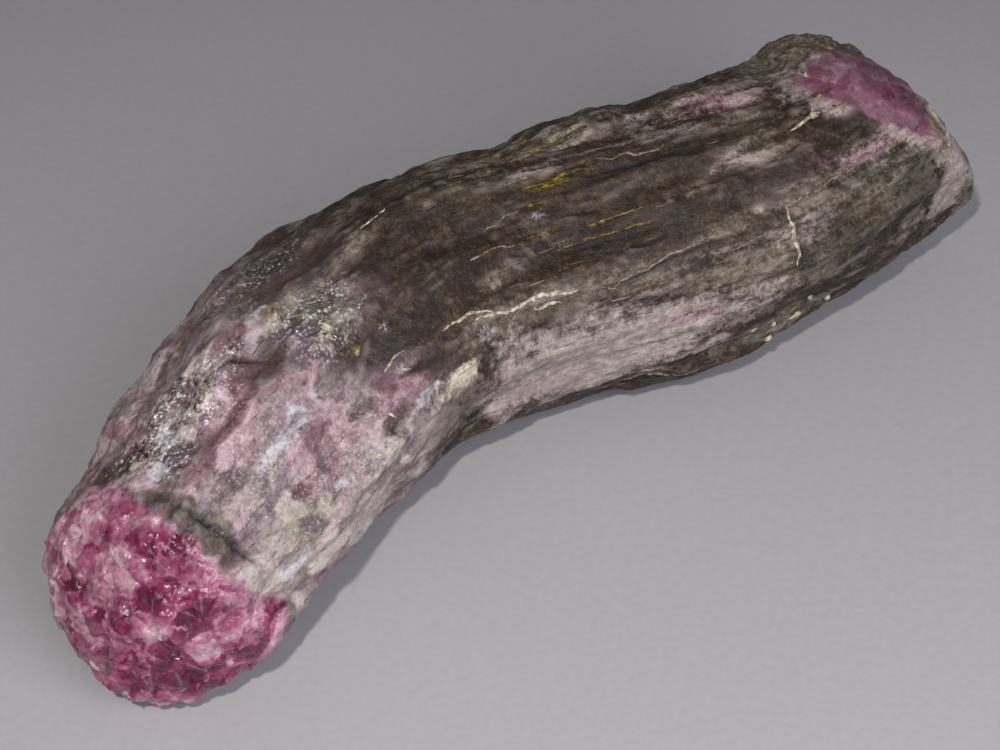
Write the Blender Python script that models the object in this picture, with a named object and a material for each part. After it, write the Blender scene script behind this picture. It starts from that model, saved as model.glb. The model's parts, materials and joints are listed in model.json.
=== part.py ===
# A watermelon tourmaline crystal: one bent, striated prism, broken across at both ends.
# It lies on its flattest side. +X runs from the near, pink break to the far one, -Y is the
# hollow side of the bend and +Z is up. The origin is below the middle of the crystal's box.

import math

import bpy
import numpy as np
from mathutils import Vector, noise

MM = 0.001

COLLECTION = "watermelon_tourmaline_crystal"
NODE = "tourmaline_crystal"

# Centre line of the prism, in millimetres: along, across, height of the centre, radius.
STATIONS = (
    (-84.0, -12.0, 14.6, 12.0),
    (-69.0, -7.2, 15.0, 14.1),
    (-55.0, -1.8, 16.6, 16.4),
    (-41.0, 4.2, 17.6, 17.6),
    (-26.5, 8.2, 18.0, 18.0),
    (-12.0, 8.8, 18.0, 18.2),
    (2.0, 5.7, 17.8, 18.1),
    (18.0, 1.7, 17.8, 18.5),
    (36.0, -1.7, 17.8, 17.7),
    (54.0, -2.6, 18.9, 16.7),
    (70.0, -3.3, 19.0, 14.3),
    (84.0, -4.0, 19.0, 11.8),
)

# Faces of the rounded prism: angle from straight up towards the hollow side, and distance
# from the centre line as a share of the radius. The 182 degree face is the one it lies on.
PRISM_FACES = (
    (12, 1.04), (56, 1.11), (98, 1.01), (141, 0.98), (182, 1.11), (224, 1.07), (268, 1.04), (318, 1.06),
)
EDGE_ROUNDING = 6.0
TILT_RADIUS = 16.0

# Near break: a blunt nose. Where it starts along the centre line, how far its rim lies back,
# and how much further back the rim lies on the hollow side and at the top of the back.
NEAR_START = 6.5
NEAR_LEAN = 0.1
NEAR_DEPTH = 6.5
NEAR_HOLLOW_SIDE = (105, 38, 7.5)
NEAR_TOP_BACK = (-30, 30, 2.0)
NEAR_ROUNDING = 0.6

# Far break: a plane that slants back over the top, with a hump of crystal standing on it.
FAR_SETBACK = 29.5
FAR_SLANT_HOLLOW = 0.5
FAR_SLANT_BACK = 0.15
FAR_LEAN = -0.75
FAR_HUMP_OUT = 6.0
FAR_HUMP_UP = 9.4
FAR_HUMP_BACK = 2.0
FAR_HUMP_OFF_CENTRE = 5.0
FAR_ROUNDING = 0.75
FAR_SKEW = 0.22
FAR_SKEW_ANGLE = 75

# Relief on the sides, in millimetres: depth, length along the prism, width around it.
FLUTES = (0.95, 42.0, 3.6)
FINE_FLUTES = (0.40, 24.0, 2.1)
FLAKES = (0.95, 17.0, 7.0)
FLAKE_EDGE = 9.0
FLAKE_COVER = 0.08
FINE_OFFSET = 9.0
FLAKE_OFFSET = 30.0
LUMPS = (0.80, 7.0)
LUMPS_FADE = (44.0, 62.0)

# Grains of the broken faces: depth and size. The slope of a grain's border, its lowest height
# and the level that stays in place are shares of the depth.
BREAK_GRAIN = (1.3, 4.6)
HUMP_GRAIN = (1.3, 4.6)
GRAIN_SLOPE = 2.2
GRAIN_LOWEST = 0.35
GRAIN_LEVEL = 0.45
GRAIN_SEED = 3.1

# How the relief of the sides fades in, and the grains fade out, on the way to a face's rim.
SIDE_FADE = 3
GRAIN_FADE = 8

# The side it lies on is worn flat: the angle, the width of the fade and what relief is left.
WORN_SIDE = (182, 34, 0.25)

# Raised and sunken places: along, around (degrees), half length, half width (degrees), height,
# steepness of the edge. These are the torn plates, the steps and the hollow of the bend.
LEDGES = (
    (98.5, -40.0, 8.0, 30.0, 0.9, 7.0),
    (82.0, -40.0, 8.0, 26.0, -1.0, 3.0),
    (107.0, 137.0, 10.5, 18.0, 1.3, 8.0),
    (65.0, 112.0, 8.0, 20.0, -1.3, 2.0),
    (38.0, 115.0, 10.0, 20.0, -1.7, 2.0),
    (84.0, 92.0, 24.0, 18.0, -0.7, 2.5),
    (33.0, 46.0, 8.0, 15.0, -0.8, 3.0),
    (27.0, -30.0, 9.0, 20.0, -0.6, 4.0),
    (52.0, -14.0, 9.0, 14.0, -0.9, 3.0),
    (46.0, 62.0, 7.0, 12.0, 0.5, 5.0),
    (141.0, -12.0, 9.0, 14.0, -0.9, 2.5),
    (120.0, 20.0, 24.0, 8.0, 0.6, 5.0),
    (120.0, 232.0, 18.0, 18.0, 1.0, 5.0),
    (58.0, 250.0, 20.0, 20.0, 1.1, 4.0),
    (86.0, 285.0, 22.0, 12.0, -0.9, 3.0),
)

# How ragged a place's outline is, and over what length and how many degrees it wanders.
LEDGE_RAGGED = (0.22, 5.0, 14.0)
LEDGE_EDGE = 2.2

# The mesh: points around and along the prism, and the rings of each broken face, from its
# middle outwards, as the share of the way to the rim and the points in the ring.
SIDES = 48
RINGS = 86
CAP_RINGS = ((0.12, 6), (0.25, 12), (0.40, 24), (0.56, 24), (0.70, 48), (0.82, 48), (0.92, 48))


def spline(stations, t):
    # A natural cubic through the stations, read at t stations from the first.
    points = np.array(stations)
    count = len(points)
    system = np.eye(count)
    right = np.zeros_like(points)
    for i in range(1, count - 1):
        system[i, i - 1:i + 2] = (1, 4, 1)
        right[i] = 6 * (points[i - 1] - 2 * points[i] + points[i + 1])
    bend = np.linalg.solve(system, right)
    i = np.clip(np.floor(t).astype(int), 0, count - 2)
    f = (t - i)[:, None]
    cubic = (bend[i] * (1 - f) ** 3 + bend[i + 1] * f ** 3) / 6
    return cubic + (points[i] - bend[i] / 6) * (1 - f) + (points[i + 1] - bend[i + 1] / 6) * f


class CentreLine:
    def __init__(self, stations, samples=800):
        self.values = spline(stations, np.linspace(0, len(stations) - 1, samples))
        steps = np.linalg.norm(np.diff(self.values[:, :3], axis=0), axis=1)
        self.lengths = np.concatenate(([0.0], np.cumsum(steps)))
        self.length = self.lengths[-1]

    def at(self, along):
        return np.stack([np.interp(along, self.lengths, column) for column in self.values.T], -1)

    def directions(self, along):
        # The level direction along the line, and the level one out to the hollow side.
        middle = np.clip(along, 0.5, self.length - 0.5)
        tangent = (self.at(middle + 0.5) - self.at(middle - 0.5))[..., :3]
        tangent[..., 2] = 0
        tangent /= np.linalg.norm(tangent, axis=-1, keepdims=True)
        out = np.stack([tangent[..., 1], -tangent[..., 0], np.zeros(tangent.shape[:-1])], -1)
        return tangent, out


def prism_radius(angle):
    # Distance to the side for a radius of 1: flat faces whose edges blend into each other.
    total = 0
    for degrees, distance in PRISM_FACES:
        total = total + (np.maximum(np.cos(angle - math.radians(degrees)), 0) / distance) ** EDGE_ROUNDING
    return total ** (-1 / EDGE_ROUNDING)


def hill(angle, centre, width):
    away = (np.degrees(angle) - centre + 180) % 360 - 180
    return np.exp(-(away / width) ** 2)


def near_end(angle, share):
    # Where the near break lies along the centre line, at a share of the way out to its rim.
    up = TILT_RADIUS * prism_radius(angle) * np.cos(angle)
    centre, width, extra = NEAR_HOLLOW_SIDE
    depth = NEAR_DEPTH + extra * hill(angle, centre, width)
    centre, width, extra = NEAR_TOP_BACK
    depth = depth + extra * hill(angle, centre, width)
    return NEAR_START + NEAR_LEAN * up * share + depth * (1 - (1 - share ** 2) ** NEAR_ROUNDING)


def far_end(angle, share, line):
    # The far break's slanting plane, and how much of the hump stands on it there.
    out = TILT_RADIUS * prism_radius(angle) * np.sin(angle)
    up = TILT_RADIUS * prism_radius(angle) * np.cos(angle)
    slant = np.where(out > 0, FAR_SLANT_HOLLOW, FAR_SLANT_BACK)
    skew = 1 - FAR_SKEW * share * np.cos(angle - math.radians(FAR_SKEW_ANGLE))
    hump = (1 - share ** 2) ** FAR_ROUNDING * skew
    return line.length - FAR_SETBACK + (slant * out + FAR_LEAN * up) * share + FAR_HUMP_OUT * hump, hump


def smooth_noise(x, y, z):
    return noise.noise(Vector((x, y, z)))


def grain(point, size):
    # Blunt grains, each with its own height: 1 in the middle of a grain, 0 on its border.
    near, cells = noise.voronoi(Vector(point) / size)
    height = 0.5 + 0.5 * smooth_noise(*(cells[0] * GRAIN_SEED))
    border = min((near[1] - near[0]) * GRAIN_SLOPE, 1.0)
    return border * (GRAIN_LOWEST + (1 - GRAIN_LOWEST) * height)


def step_down(x):
    # A smooth step from 1 to 0 around x = 0.
    return 0.5 - 0.5 * math.tanh(x / 2)


def ledge_height(along, degrees):
    total = 0.0
    depth, length, width = LEDGE_RAGGED
    for s, a, half_length, half_width, height, steepness in LEDGES:
        away = (degrees - a + 180) % 360 - 180
        ragged = depth * smooth_noise(along / length, away / width, s)
        reach = math.hypot((along - s) / half_length, away / half_width) + ragged
        total += height * step_down(steepness * LEDGE_EDGE * (reach - 1))
    return total


def side_relief(along, angle, radius, point):
    degrees = math.degrees(angle)
    x, y = math.sin(angle) * radius, math.cos(angle) * radius
    depth, length, width = FLUTES
    relief = depth * smooth_noise(along / length, x / width, y / width)
    depth, length, width = FINE_FLUTES
    relief += depth * smooth_noise(along / length, x / width + FINE_OFFSET, y / width)
    depth, length, width = FLAKES
    layer = smooth_noise(along / length, x / width + FLAKE_OFFSET, y / width)
    relief += depth * (0.5 - step_down(FLAKE_EDGE * (layer - FLAKE_COVER)))
    depth, size = LUMPS
    first, last = LUMPS_FADE
    fade = min(max((last - along) / (last - first), 0), 1)
    relief += depth * fade * smooth_noise(*(Vector(point) / size))
    centre, width, left = WORN_SIDE
    return (relief + ledge_height(along, degrees)) * (1 - (1 - left) * hill(angle, centre, width))


def ring_points(line, along, share, angle):
    centre = line.at(along)
    tangent, out = line.directions(along)
    reach = centre[:, 3] * prism_radius(angle) * share
    points = centre[:, :3] + out * (reach * np.sin(angle))[:, None]
    points[:, 2] += reach * np.cos(angle)
    return points, tangent, out


def finish_ring(line, along, share, angle, points, tangent, out, grain_depth, grain_size, outward):
    # Adds the relief: lengthwise on a side, in lumps along the prism on a broken face.
    result = []
    radii = line.at(along)[:, 3]
    for i, a in enumerate(angle):
        point = Vector(points[i])
        side = Vector(out[i]) * math.sin(a) + Vector((0, 0, math.cos(a)))
        point += side * side_relief(along[i], a, radii[i], point) * share ** SIDE_FADE
        if share < 1:
            broken = (grain(point, grain_size) - GRAIN_LEVEL) * grain_depth * (1 - share ** GRAIN_FADE)
            point += Vector(tangent[i]) * outward * broken
        point.z = max(point.z, 0.0)
        result.append(point)
    return result


def angles(count):
    return np.linspace(0, 2 * math.pi, count, endpoint=False)


def crystal_rings():
    # Rings of points from the middle of the near break to the middle of the far one.
    line = CentreLine(STATIONS)
    rings = []
    for share, count in CAP_RINGS:
        angle = angles(count)
        along = near_end(angle, share)
        made = ring_points(line, along, share, angle)
        rings.append(finish_ring(line, along, share, angle, *made, *BREAK_GRAIN, -1))
    angle = angles(SIDES)
    start = near_end(angle, 1.0)
    end = far_end(angle, 1.0, line)[0]
    for t in np.linspace(0, 1, RINGS):
        along = start * (1 - t) + end * t
        made = ring_points(line, along, 1.0, angle)
        rings.append(finish_ring(line, along, 1.0, angle, *made, 0, 1, 0))
    for share, count in reversed(CAP_RINGS):
        angle = angles(count)
        along, hump = far_end(angle, share, line)
        points, tangent, out = ring_points(line, along, share, angle)
        points -= out * (FAR_HUMP_BACK * hump + FAR_HUMP_OFF_CENTRE * (1 - share))[:, None]
        points[:, 2] += FAR_HUMP_UP * hump
        rings.append(finish_ring(line, along, share, angle, points, tangent, out, *HUMP_GRAIN, 1))
    return rings


def bridge(points, first, second):
    # Triangles between two rings of point numbers, one of which may have twice the points.
    n, m = len(first), len(second)
    faces = []
    for i in range(min(n, m)):
        if n == m:
            a, b, c, d = first[i], first[(i + 1) % n], second[(i + 1) % m], second[i]
            if (points[a] - points[c]).length < (points[b] - points[d]).length:
                faces += [(a, b, c), (a, c, d)]
            else:
                faces += [(a, b, d), (b, c, d)]
        elif m == 2 * n:
            a, b = first[i], first[(i + 1) % n]
            d, e, c = second[2 * i], second[2 * i + 1], second[(2 * i + 2) % m]
            faces += [(a, e, d), (a, b, e), (b, c, e)]
        else:
            a, e, b = first[2 * i], first[2 * i + 1], first[(2 * i + 2) % n]
            d, c = second[i], second[(i + 1) % m]
            faces += [(a, e, d), (e, c, d), (e, b, c)]
    return faces


def loft(rings):
    # One closed skin over the rings, each end closed on a middle point.
    points = []
    numbers = []
    for ring in rings:
        numbers.append(range(len(points), len(points) + len(ring)))
        points += ring
    faces = []
    for first, second in zip(numbers, numbers[1:]):
        faces += bridge(points, first, second)
    for ring, order in ((numbers[0], -1), (numbers[-1], 1)):
        middle = len(points)
        points.append(sum((points[k] for k in ring), Vector()) / len(ring))
        turned = list(ring)[::order]
        faces += [(a, b, middle) for a, b in zip(turned, turned[1:] + turned[:1])]
    return points, faces


def tourmaline_material():
    material = bpy.data.materials.new("tourmaline")
    material.use_nodes = True
    shader = material.node_tree.nodes["Principled BSDF"]
    shader.inputs["Base Color"].default_value = (0.155, 0.095, 0.105, 1)
    shader.inputs["Roughness"].default_value = 0.5
    shader.inputs["Metallic"].default_value = 0.0
    return material


def tourmaline_crystal(collection):
    points, faces = loft(crystal_rings())
    low = [min(p[k] for p in points) for k in range(3)]
    high = [max(p[k] for p in points) for k in range(3)]
    shift = Vector(((low[0] + high[0]) / 2, (low[1] + high[1]) / 2, low[2]))
    mesh = bpy.data.meshes.new(NODE)
    mesh.from_pydata([(p - shift) * MM for p in points], [], faces)
    mesh.update()
    mesh.materials.append(tourmaline_material())
    crystal = bpy.data.objects.new(NODE, mesh)
    collection.objects.link(crystal)
    return crystal, shift


def clear_scene():
    for thing in list(bpy.data.objects):
        bpy.data.objects.remove(thing, do_unlink=True)


def main():
    clear_scene()
    collection = bpy.data.collections.new(COLLECTION)
    bpy.context.scene.collection.children.link(collection)
    return tourmaline_crystal(collection)


main()
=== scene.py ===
import json
import math
import time

import bmesh
import bpy
import numpy as np
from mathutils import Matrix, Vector, noise
from mathutils.kdtree import KDTree

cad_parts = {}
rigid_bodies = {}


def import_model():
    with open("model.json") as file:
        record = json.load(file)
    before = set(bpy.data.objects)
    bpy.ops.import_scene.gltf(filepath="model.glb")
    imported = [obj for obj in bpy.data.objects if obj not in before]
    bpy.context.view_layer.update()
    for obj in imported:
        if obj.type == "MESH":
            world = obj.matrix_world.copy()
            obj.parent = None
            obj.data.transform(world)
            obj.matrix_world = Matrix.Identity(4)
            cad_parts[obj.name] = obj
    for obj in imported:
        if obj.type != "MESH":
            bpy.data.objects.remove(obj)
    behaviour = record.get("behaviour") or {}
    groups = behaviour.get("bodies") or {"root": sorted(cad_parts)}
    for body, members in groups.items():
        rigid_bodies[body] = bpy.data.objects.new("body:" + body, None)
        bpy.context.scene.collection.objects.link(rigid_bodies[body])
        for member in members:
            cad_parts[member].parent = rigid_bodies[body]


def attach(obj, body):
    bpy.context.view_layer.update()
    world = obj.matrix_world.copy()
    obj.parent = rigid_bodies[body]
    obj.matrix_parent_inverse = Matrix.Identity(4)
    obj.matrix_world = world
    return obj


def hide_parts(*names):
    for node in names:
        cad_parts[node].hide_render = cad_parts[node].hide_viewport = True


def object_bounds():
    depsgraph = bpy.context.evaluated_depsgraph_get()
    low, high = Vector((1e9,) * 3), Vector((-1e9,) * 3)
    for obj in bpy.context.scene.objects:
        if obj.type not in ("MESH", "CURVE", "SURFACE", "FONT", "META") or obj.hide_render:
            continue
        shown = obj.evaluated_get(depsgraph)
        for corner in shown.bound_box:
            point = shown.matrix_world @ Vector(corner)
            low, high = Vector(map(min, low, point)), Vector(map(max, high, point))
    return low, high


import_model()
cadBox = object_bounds()
startTime = time.time()

mm = 0.001


def report(stage):
    print(f"[{time.time() - startTime:5.1f} s] {stage}")


# Helpers
def hexColour(text):
    # sRGB hex to the linear colour that the shaders take
    values = [int(text[i:i + 2], 16) / 255 for i in (1, 3, 5)]
    linear = [v / 12.92 if v <= 0.04045 else ((v + 0.055) / 1.055) ** 2.4 for v in values]
    return (*linear, 1.0)


def feed(tree, made, **links):
    # links are values or sockets, by input name with _ for a space, or by number after an i
    for name, value in links.items():
        key = int(name[1:]) if name[0] == "i" and name[1:].isdigit() else name.replace("_", " ")
        if isinstance(value, bpy.types.NodeSocket):
            tree.links.new(value, made.inputs[key])
        else:
            made.inputs[key].default_value = hexColour(value) if str(value)[0] == "#" else value


def node(tree, kind, settings=None, out=0, **links):
    # adds one node, a shader node where the kind doesn't say otherwise, with its settings and links;
    # gives the output named or numbered by out, or the node itself for None
    made = tree.nodes.new(kind if "Node" in kind else "ShaderNode" + kind)
    for name, value in (settings or {}).items():
        if name == "stops":
            while len(made.color_ramp.elements) < len(value):
                made.color_ramp.elements.new(0.5)
            for element, (place, colour) in zip(made.color_ramp.elements, value):
                element.position = place
                element.color = hexColour(colour)
        else:
            setattr(made, name, value)
    feed(tree, made, **links)
    return made if out is None else made.outputs[out]


def perlin(points):
    return np.array([noise.noise(p) for p in points.tolist()])


def smoothStep(low, high, x):
    t = np.clip((x - low) / (high - low), 0, 1)
    return t * t * (3 - 2 * t)


def newObject(name, data):
    made = bpy.data.objects.new(name, data)
    bpy.context.scene.collection.objects.link(made)
    return made


def meshObject(name, points, faces, smooth=True):
    mesh = bpy.data.meshes.new(name)
    mesh.from_pydata(points, [], faces)
    mesh.update()
    mesh.polygons.foreach_set("use_smooth", [smooth] * len(mesh.polygons))
    return newObject(name, mesh)


def storeFloat(mesh, name, values):
    layer = mesh.attributes.new(name, "FLOAT", "POINT")
    layer.data.foreach_set("value", np.asarray(values, dtype=np.float32))


def storeVector(mesh, name, values):
    layer = mesh.attributes.new(name, "FLOAT_VECTOR", "POINT")
    layer.data.foreach_set("vector", np.asarray(values, dtype=np.float32).ravel())


# The crystal's form, mm
crystal = {
    # centre line: along, across, height of the centre, radius
    "stations": (
        (-84.0, -12.0, 14.6, 12.0), (-69.0, -7.2, 15.0, 14.1), (-55.0, -1.8, 16.6, 16.4),
        (-41.0, 4.2, 17.6, 17.6), (-26.5, 8.2, 18.0, 18.0), (-12.0, 8.8, 18.0, 18.2),
        (2.0, 5.7, 17.8, 18.1), (18.0, 1.7, 17.8, 18.5), (36.0, -1.7, 17.8, 17.7),
        (54.0, -2.6, 18.9, 16.7), (70.0, -3.3, 19.0, 14.3), (84.0, -4.0, 19.0, 11.8),
    ),
    # flat sides: angle from straight up, share of the radius
    "faces": (
        (12, 1.04), (56, 1.11), (98, 1.01), (141, 0.98), (182, 1.11), (224, 1.07), (268, 1.04), (318, 1.06),
    ),
    "edgeRounding": 6.0,  # the higher, the sharper the edges between the flat sides
    "tiltRadius": 16.0,  # mm, over which the breaks slant
    "shift": (-5.286, 4.129, 0.0),  # middle of the CAD model's box on the centre line's axes
    "around": 320,  # points round the prism
    "rings": {"near": 66, "side": 226, "far": 34},  # on the near break, between the breaks, on the far one
    "nearRings": 1.12,  # power that brings the rings of the side closer together on the near arm
    "crowding": 0.28,  # how much closer the points lie on the sides that show most
    "crowdedAt": 45.0,  # degrees
    "inset": 0.12,  # keeps the fine relief inside the CAD model's box
    "clear": 0.02,  # mm that every point stays inside that box
    "meanRadius": 17.8,  # mm
}

degreeLength = math.radians(crystal["meanRadius"])  # mm round the crystal for each degree

# The blunt break: a dome that bulges out less on its hollow side and its back; sides are given as
# angle, width and extra depth, grain as height and size
nearBreak = {
    "start": 6.5, "lean": 0.1, "depth": 6.5, "hollowSide": (105, 38, 7.5), "topBack": (-30, 30, 2.0),
    "rounding": 0.6, "grain": (1.3, 4.6),
}

# The slanting break, with a hump on its upper side
farBreak = {
    "setback": 29.5, "slantHollow": 0.5, "slantBack": 0.15, "lean": -0.75, "humpOut": 6.0, "humpUp": 9.4,
    "humpBack": 2.0, "offCentre": 5.0, "rounding": 0.75, "skew": 0.22, "skewAngle": 75, "grain": (1.3, 4.6),
}

# Relief that the solid has too: height, length and width of each pattern
sideRelief = {
    "flutes": (0.95, 42.0, 3.6), "fineFlutes": (0.40, 24.0, 2.1), "flakes": (0.95, 17.0, 7.0),
    "flakeEdge": 9.0, "flakeCover": 0.08, "fineOffset": 9.0, "flakeOffset": 30.0,
    "lumps": (0.80, 7.0), "lumpsFade": (44.0, 62.0), "wornSide": (182, 34, 0.25),
    "ragged": (0.22, 5.0, 14.0), "ledgeEdge": 2.2,
    # along, around (degrees), half length, half width (degrees), height, steepness
    "ledges": (
        (98.5, -40.0, 8.0, 30.0, 0.9, 7.0), (82.0, -40.0, 8.0, 26.0, -1.0, 3.0),
        (107.0, 137.0, 10.5, 18.0, 1.3, 8.0), (65.0, 112.0, 8.0, 20.0, -1.3, 2.0),
        (38.0, 115.0, 10.0, 20.0, -1.7, 2.0), (84.0, 92.0, 24.0, 18.0, -0.7, 2.5),
        (33.0, 46.0, 8.0, 15.0, -0.8, 3.0), (27.0, -30.0, 9.0, 20.0, -0.6, 4.0),
        (52.0, -14.0, 9.0, 14.0, -0.9, 3.0), (46.0, 62.0, 7.0, 12.0, 0.5, 5.0),
        (141.0, -12.0, 9.0, 14.0, -0.9, 2.5), (120.0, 20.0, 24.0, 8.0, 0.6, 5.0),
        (120.0, 232.0, 18.0, 18.0, 1.0, 5.0), (58.0, 250.0, 20.0, 20.0, 1.1, 4.0),
        (86.0, 285.0, 22.0, 12.0, -0.9, 3.0),
    ),
}


def spline(stations, t):
    # natural cubic through the stations
    points = np.array(stations)
    count = len(points)
    system = np.eye(count)
    right = np.zeros_like(points)
    for i in range(1, count - 1):
        system[i, i - 1:i + 2] = (1, 4, 1)
        right[i] = 6 * (points[i - 1] - 2 * points[i] + points[i + 1])
    bend = np.linalg.solve(system, right)
    i = np.clip(np.floor(t).astype(int), 0, count - 2)
    f = (t - i)[:, None]
    cubic = (bend[i] * (1 - f) ** 3 + bend[i + 1] * f ** 3) / 6
    return cubic + (points[i] - bend[i] / 6) * (1 - f) + (points[i + 1] - bend[i + 1] / 6) * f


class CentreLine:
    def __init__(self, stations, samples=800):
        self.values = spline(stations, np.linspace(0, len(stations) - 1, samples))
        steps = np.linalg.norm(np.diff(self.values[:, :3], axis=0), axis=1)
        self.lengths = np.concatenate(([0.0], np.cumsum(steps)))
        self.length = self.lengths[-1]

    def at(self, along):
        return np.stack([np.interp(along, self.lengths, column) for column in self.values.T], -1)

    def directions(self, along):
        middle = np.clip(along, 0.5, self.length - 0.5)
        tangent = (self.at(middle + 0.5) - self.at(middle - 0.5))[..., :3]
        tangent[..., 2] = 0
        tangent /= np.linalg.norm(tangent, axis=-1, keepdims=True)
        out = np.stack([tangent[..., 1], -tangent[..., 0], np.zeros(tangent.shape[:-1])], -1)
        return tangent, out


line = CentreLine(crystal["stations"])
boxShift = np.array(crystal["shift"])


def prismRadius(angle):
    total = 0
    power = crystal["edgeRounding"]
    for degrees, distance in crystal["faces"]:
        total = total + (np.maximum(np.cos(angle - math.radians(degrees)), 0) / distance) ** power
    return total ** (-1 / power)


def degreesFrom(degrees, centre):
    return (degrees - centre + 180) % 360 - 180


def hill(angle, centre, width):
    return np.exp(-(degreesFrom(np.degrees(angle), centre) / width) ** 2)


def nearEnd(angle, share):
    up = crystal["tiltRadius"] * prismRadius(angle) * np.cos(angle)
    depth = nearBreak["depth"]
    for centre, width, extra in (nearBreak["hollowSide"], nearBreak["topBack"]):
        depth = depth + extra * hill(angle, centre, width)
    fall = 1 - (1 - share ** 2) ** nearBreak["rounding"]
    return nearBreak["start"] + nearBreak["lean"] * up * share + depth * fall


def farEnd(angle, share):
    out = crystal["tiltRadius"] * prismRadius(angle) * np.sin(angle)
    up = crystal["tiltRadius"] * prismRadius(angle) * np.cos(angle)
    slant = np.where(out > 0, farBreak["slantHollow"], farBreak["slantBack"])
    skew = 1 - farBreak["skew"] * share * np.cos(angle - math.radians(farBreak["skewAngle"]))
    hump = (1 - share ** 2) ** farBreak["rounding"] * skew
    along = line.length - farBreak["setback"] + (slant * out + farBreak["lean"] * up) * share
    return along + farBreak["humpOut"] * hump, hump


def stepDown(x):
    return 0.5 - 0.5 * np.tanh(x / 2)


def ledgeHeight(along, degrees):
    total = np.zeros(len(along))
    depth, length, width = sideRelief["ragged"]
    for s, a, halfLength, halfWidth, height, steepness in sideRelief["ledges"]:
        away = degreesFrom(degrees, a)
        reach = np.hypot((along - s) / halfLength, away / halfWidth)
        near = np.flatnonzero(reach < 4)
        spots = np.stack([along[near] / length, away[near] / width, np.full(len(near), s)], -1)
        ragged = depth * perlin(spots)
        total[near] += height * stepDown(steepness * sideRelief["ledgeEdge"] * (reach[near] + ragged - 1))
    return total


def reliefOfSides(along, angle, radius, points):
    x, y = np.sin(angle) * radius, np.cos(angle) * radius
    depth, length, width = sideRelief["flutes"]
    relief = depth * perlin(np.stack([along / length, x / width, y / width], -1))
    depth, length, width = sideRelief["fineFlutes"]
    relief += depth * perlin(np.stack([along / length, x / width + sideRelief["fineOffset"], y / width], -1))
    depth, length, width = sideRelief["flakes"]
    layer = perlin(np.stack([along / length, x / width + sideRelief["flakeOffset"], y / width], -1))
    relief += depth * (0.5 - stepDown(sideRelief["flakeEdge"] * (layer - sideRelief["flakeCover"])))
    depth, size = sideRelief["lumps"]
    first, last = sideRelief["lumpsFade"]
    relief += depth * np.clip((last - along) / (last - first), 0, 1) * perlin(points / size)
    centre, width, left = sideRelief["wornSide"]
    return (relief + ledgeHeight(along, np.degrees(angle))) * (1 - (1 - left) * hill(angle, centre, width))


def coarseGrain(points, size):
    # blunt grains of a broken face, 0 in the gaps between them and up to 1 on top
    heights = []
    for p in (points / size).tolist():
        near, cells = noise.voronoi(p)
        height = 0.5 + 0.5 * noise.noise(cells[0] * 3.1)
        heights.append(min((near[1] - near[0]) * 2.2, 1.0) * (0.35 + 0.65 * height))
    return np.array(heights)


def surfacePoints(along, angle, share, end):
    # the same form as the solid: end is -1 on the near break, 1 on the far one, 0 on the sides
    centre = line.at(along)
    tangent, out = line.directions(along)
    reach = centre[:, 3] * prismRadius(angle) * share
    points = centre[:, :3] + out * (reach * np.sin(angle))[:, None]
    points[:, 2] += reach * np.cos(angle)
    if end == 1:
        hump = farEnd(angle, share)[1]
        points -= out * (farBreak["humpBack"] * hump + farBreak["offCentre"] * (1 - share))[:, None]
        points[:, 2] += farBreak["humpUp"] * hump
    side = out * np.sin(angle)[:, None]
    side[:, 2] += np.cos(angle)
    points += side * (reliefOfSides(along, angle, centre[:, 3], points) * share ** 3)[:, None]
    if end:
        depth, size = (nearBreak if end < 0 else farBreak)["grain"]
        broken = (coarseGrain(points, size) - 0.45) * depth * (1 - share ** 8)
        points += tangent * (end * broken)[:, None]
    points[:, 2] = np.maximum(points[:, 2], 0)
    return points, tangent


# The fine mesh of the crystal
def crowdedAngles(count):
    t = np.linspace(0, 2 * math.pi, count, endpoint=False)
    return t - crystal["crowding"] * np.sin(t - math.radians(crystal["crowdedAt"]))


def capShares(rings):
    # shares of the way to the rim, closer together near it, with the points in each ring
    result = []
    for turn in np.linspace(0, math.pi / 2, rings + 2)[1:-1]:
        share = math.sin(turn)
        halvings = sum(share <= limit for limit in (0.5, 0.25, 0.1))
        result.append((share, crystal["around"] // 2 ** halvings))
    return result


def bridgeFaces(first, second):
    n, m = len(first), len(second)
    if n == m:
        return [(first[i], first[(i + 1) % n], second[(i + 1) % n], second[i]) for i in range(n)]
    faces = []
    for i in range(min(n, m)):
        if m == 2 * n:
            a, b = first[i], first[(i + 1) % n]
            d, e, c = second[2 * i], second[2 * i + 1], second[(2 * i + 2) % m]
            faces += [(a, e, d), (a, b, e), (b, c, e)]
        else:
            a, e, b = first[2 * i], first[2 * i + 1], first[(2 * i + 2) % n]
            d, c = second[i], second[(i + 1) % m]
            faces += [(a, e, d), (e, c, d), (e, b, c)]
    return faces


def crystalRings():
    rings = []  # along, angle, share, end
    full = crowdedAngles(crystal["around"])
    for share, count in capShares(crystal["rings"]["near"]):
        angle = full[::crystal["around"] // count]
        rings.append((nearEnd(angle, share), angle, np.full(count, share), -1))
    start, end = nearEnd(full, 1.0), farEnd(full, 1.0)[0]
    for t in np.linspace(0, 1, crystal["rings"]["side"]) ** crystal["nearRings"]:
        rings.append((start * (1 - t) + end * t, full, np.ones(len(full)), 0))
    for share, count in reversed(capShares(crystal["rings"]["far"])):
        angle = full[::crystal["around"] // count]
        rings.append((farEnd(angle, share)[0], angle, np.full(count, share), 1))
    return rings


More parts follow.
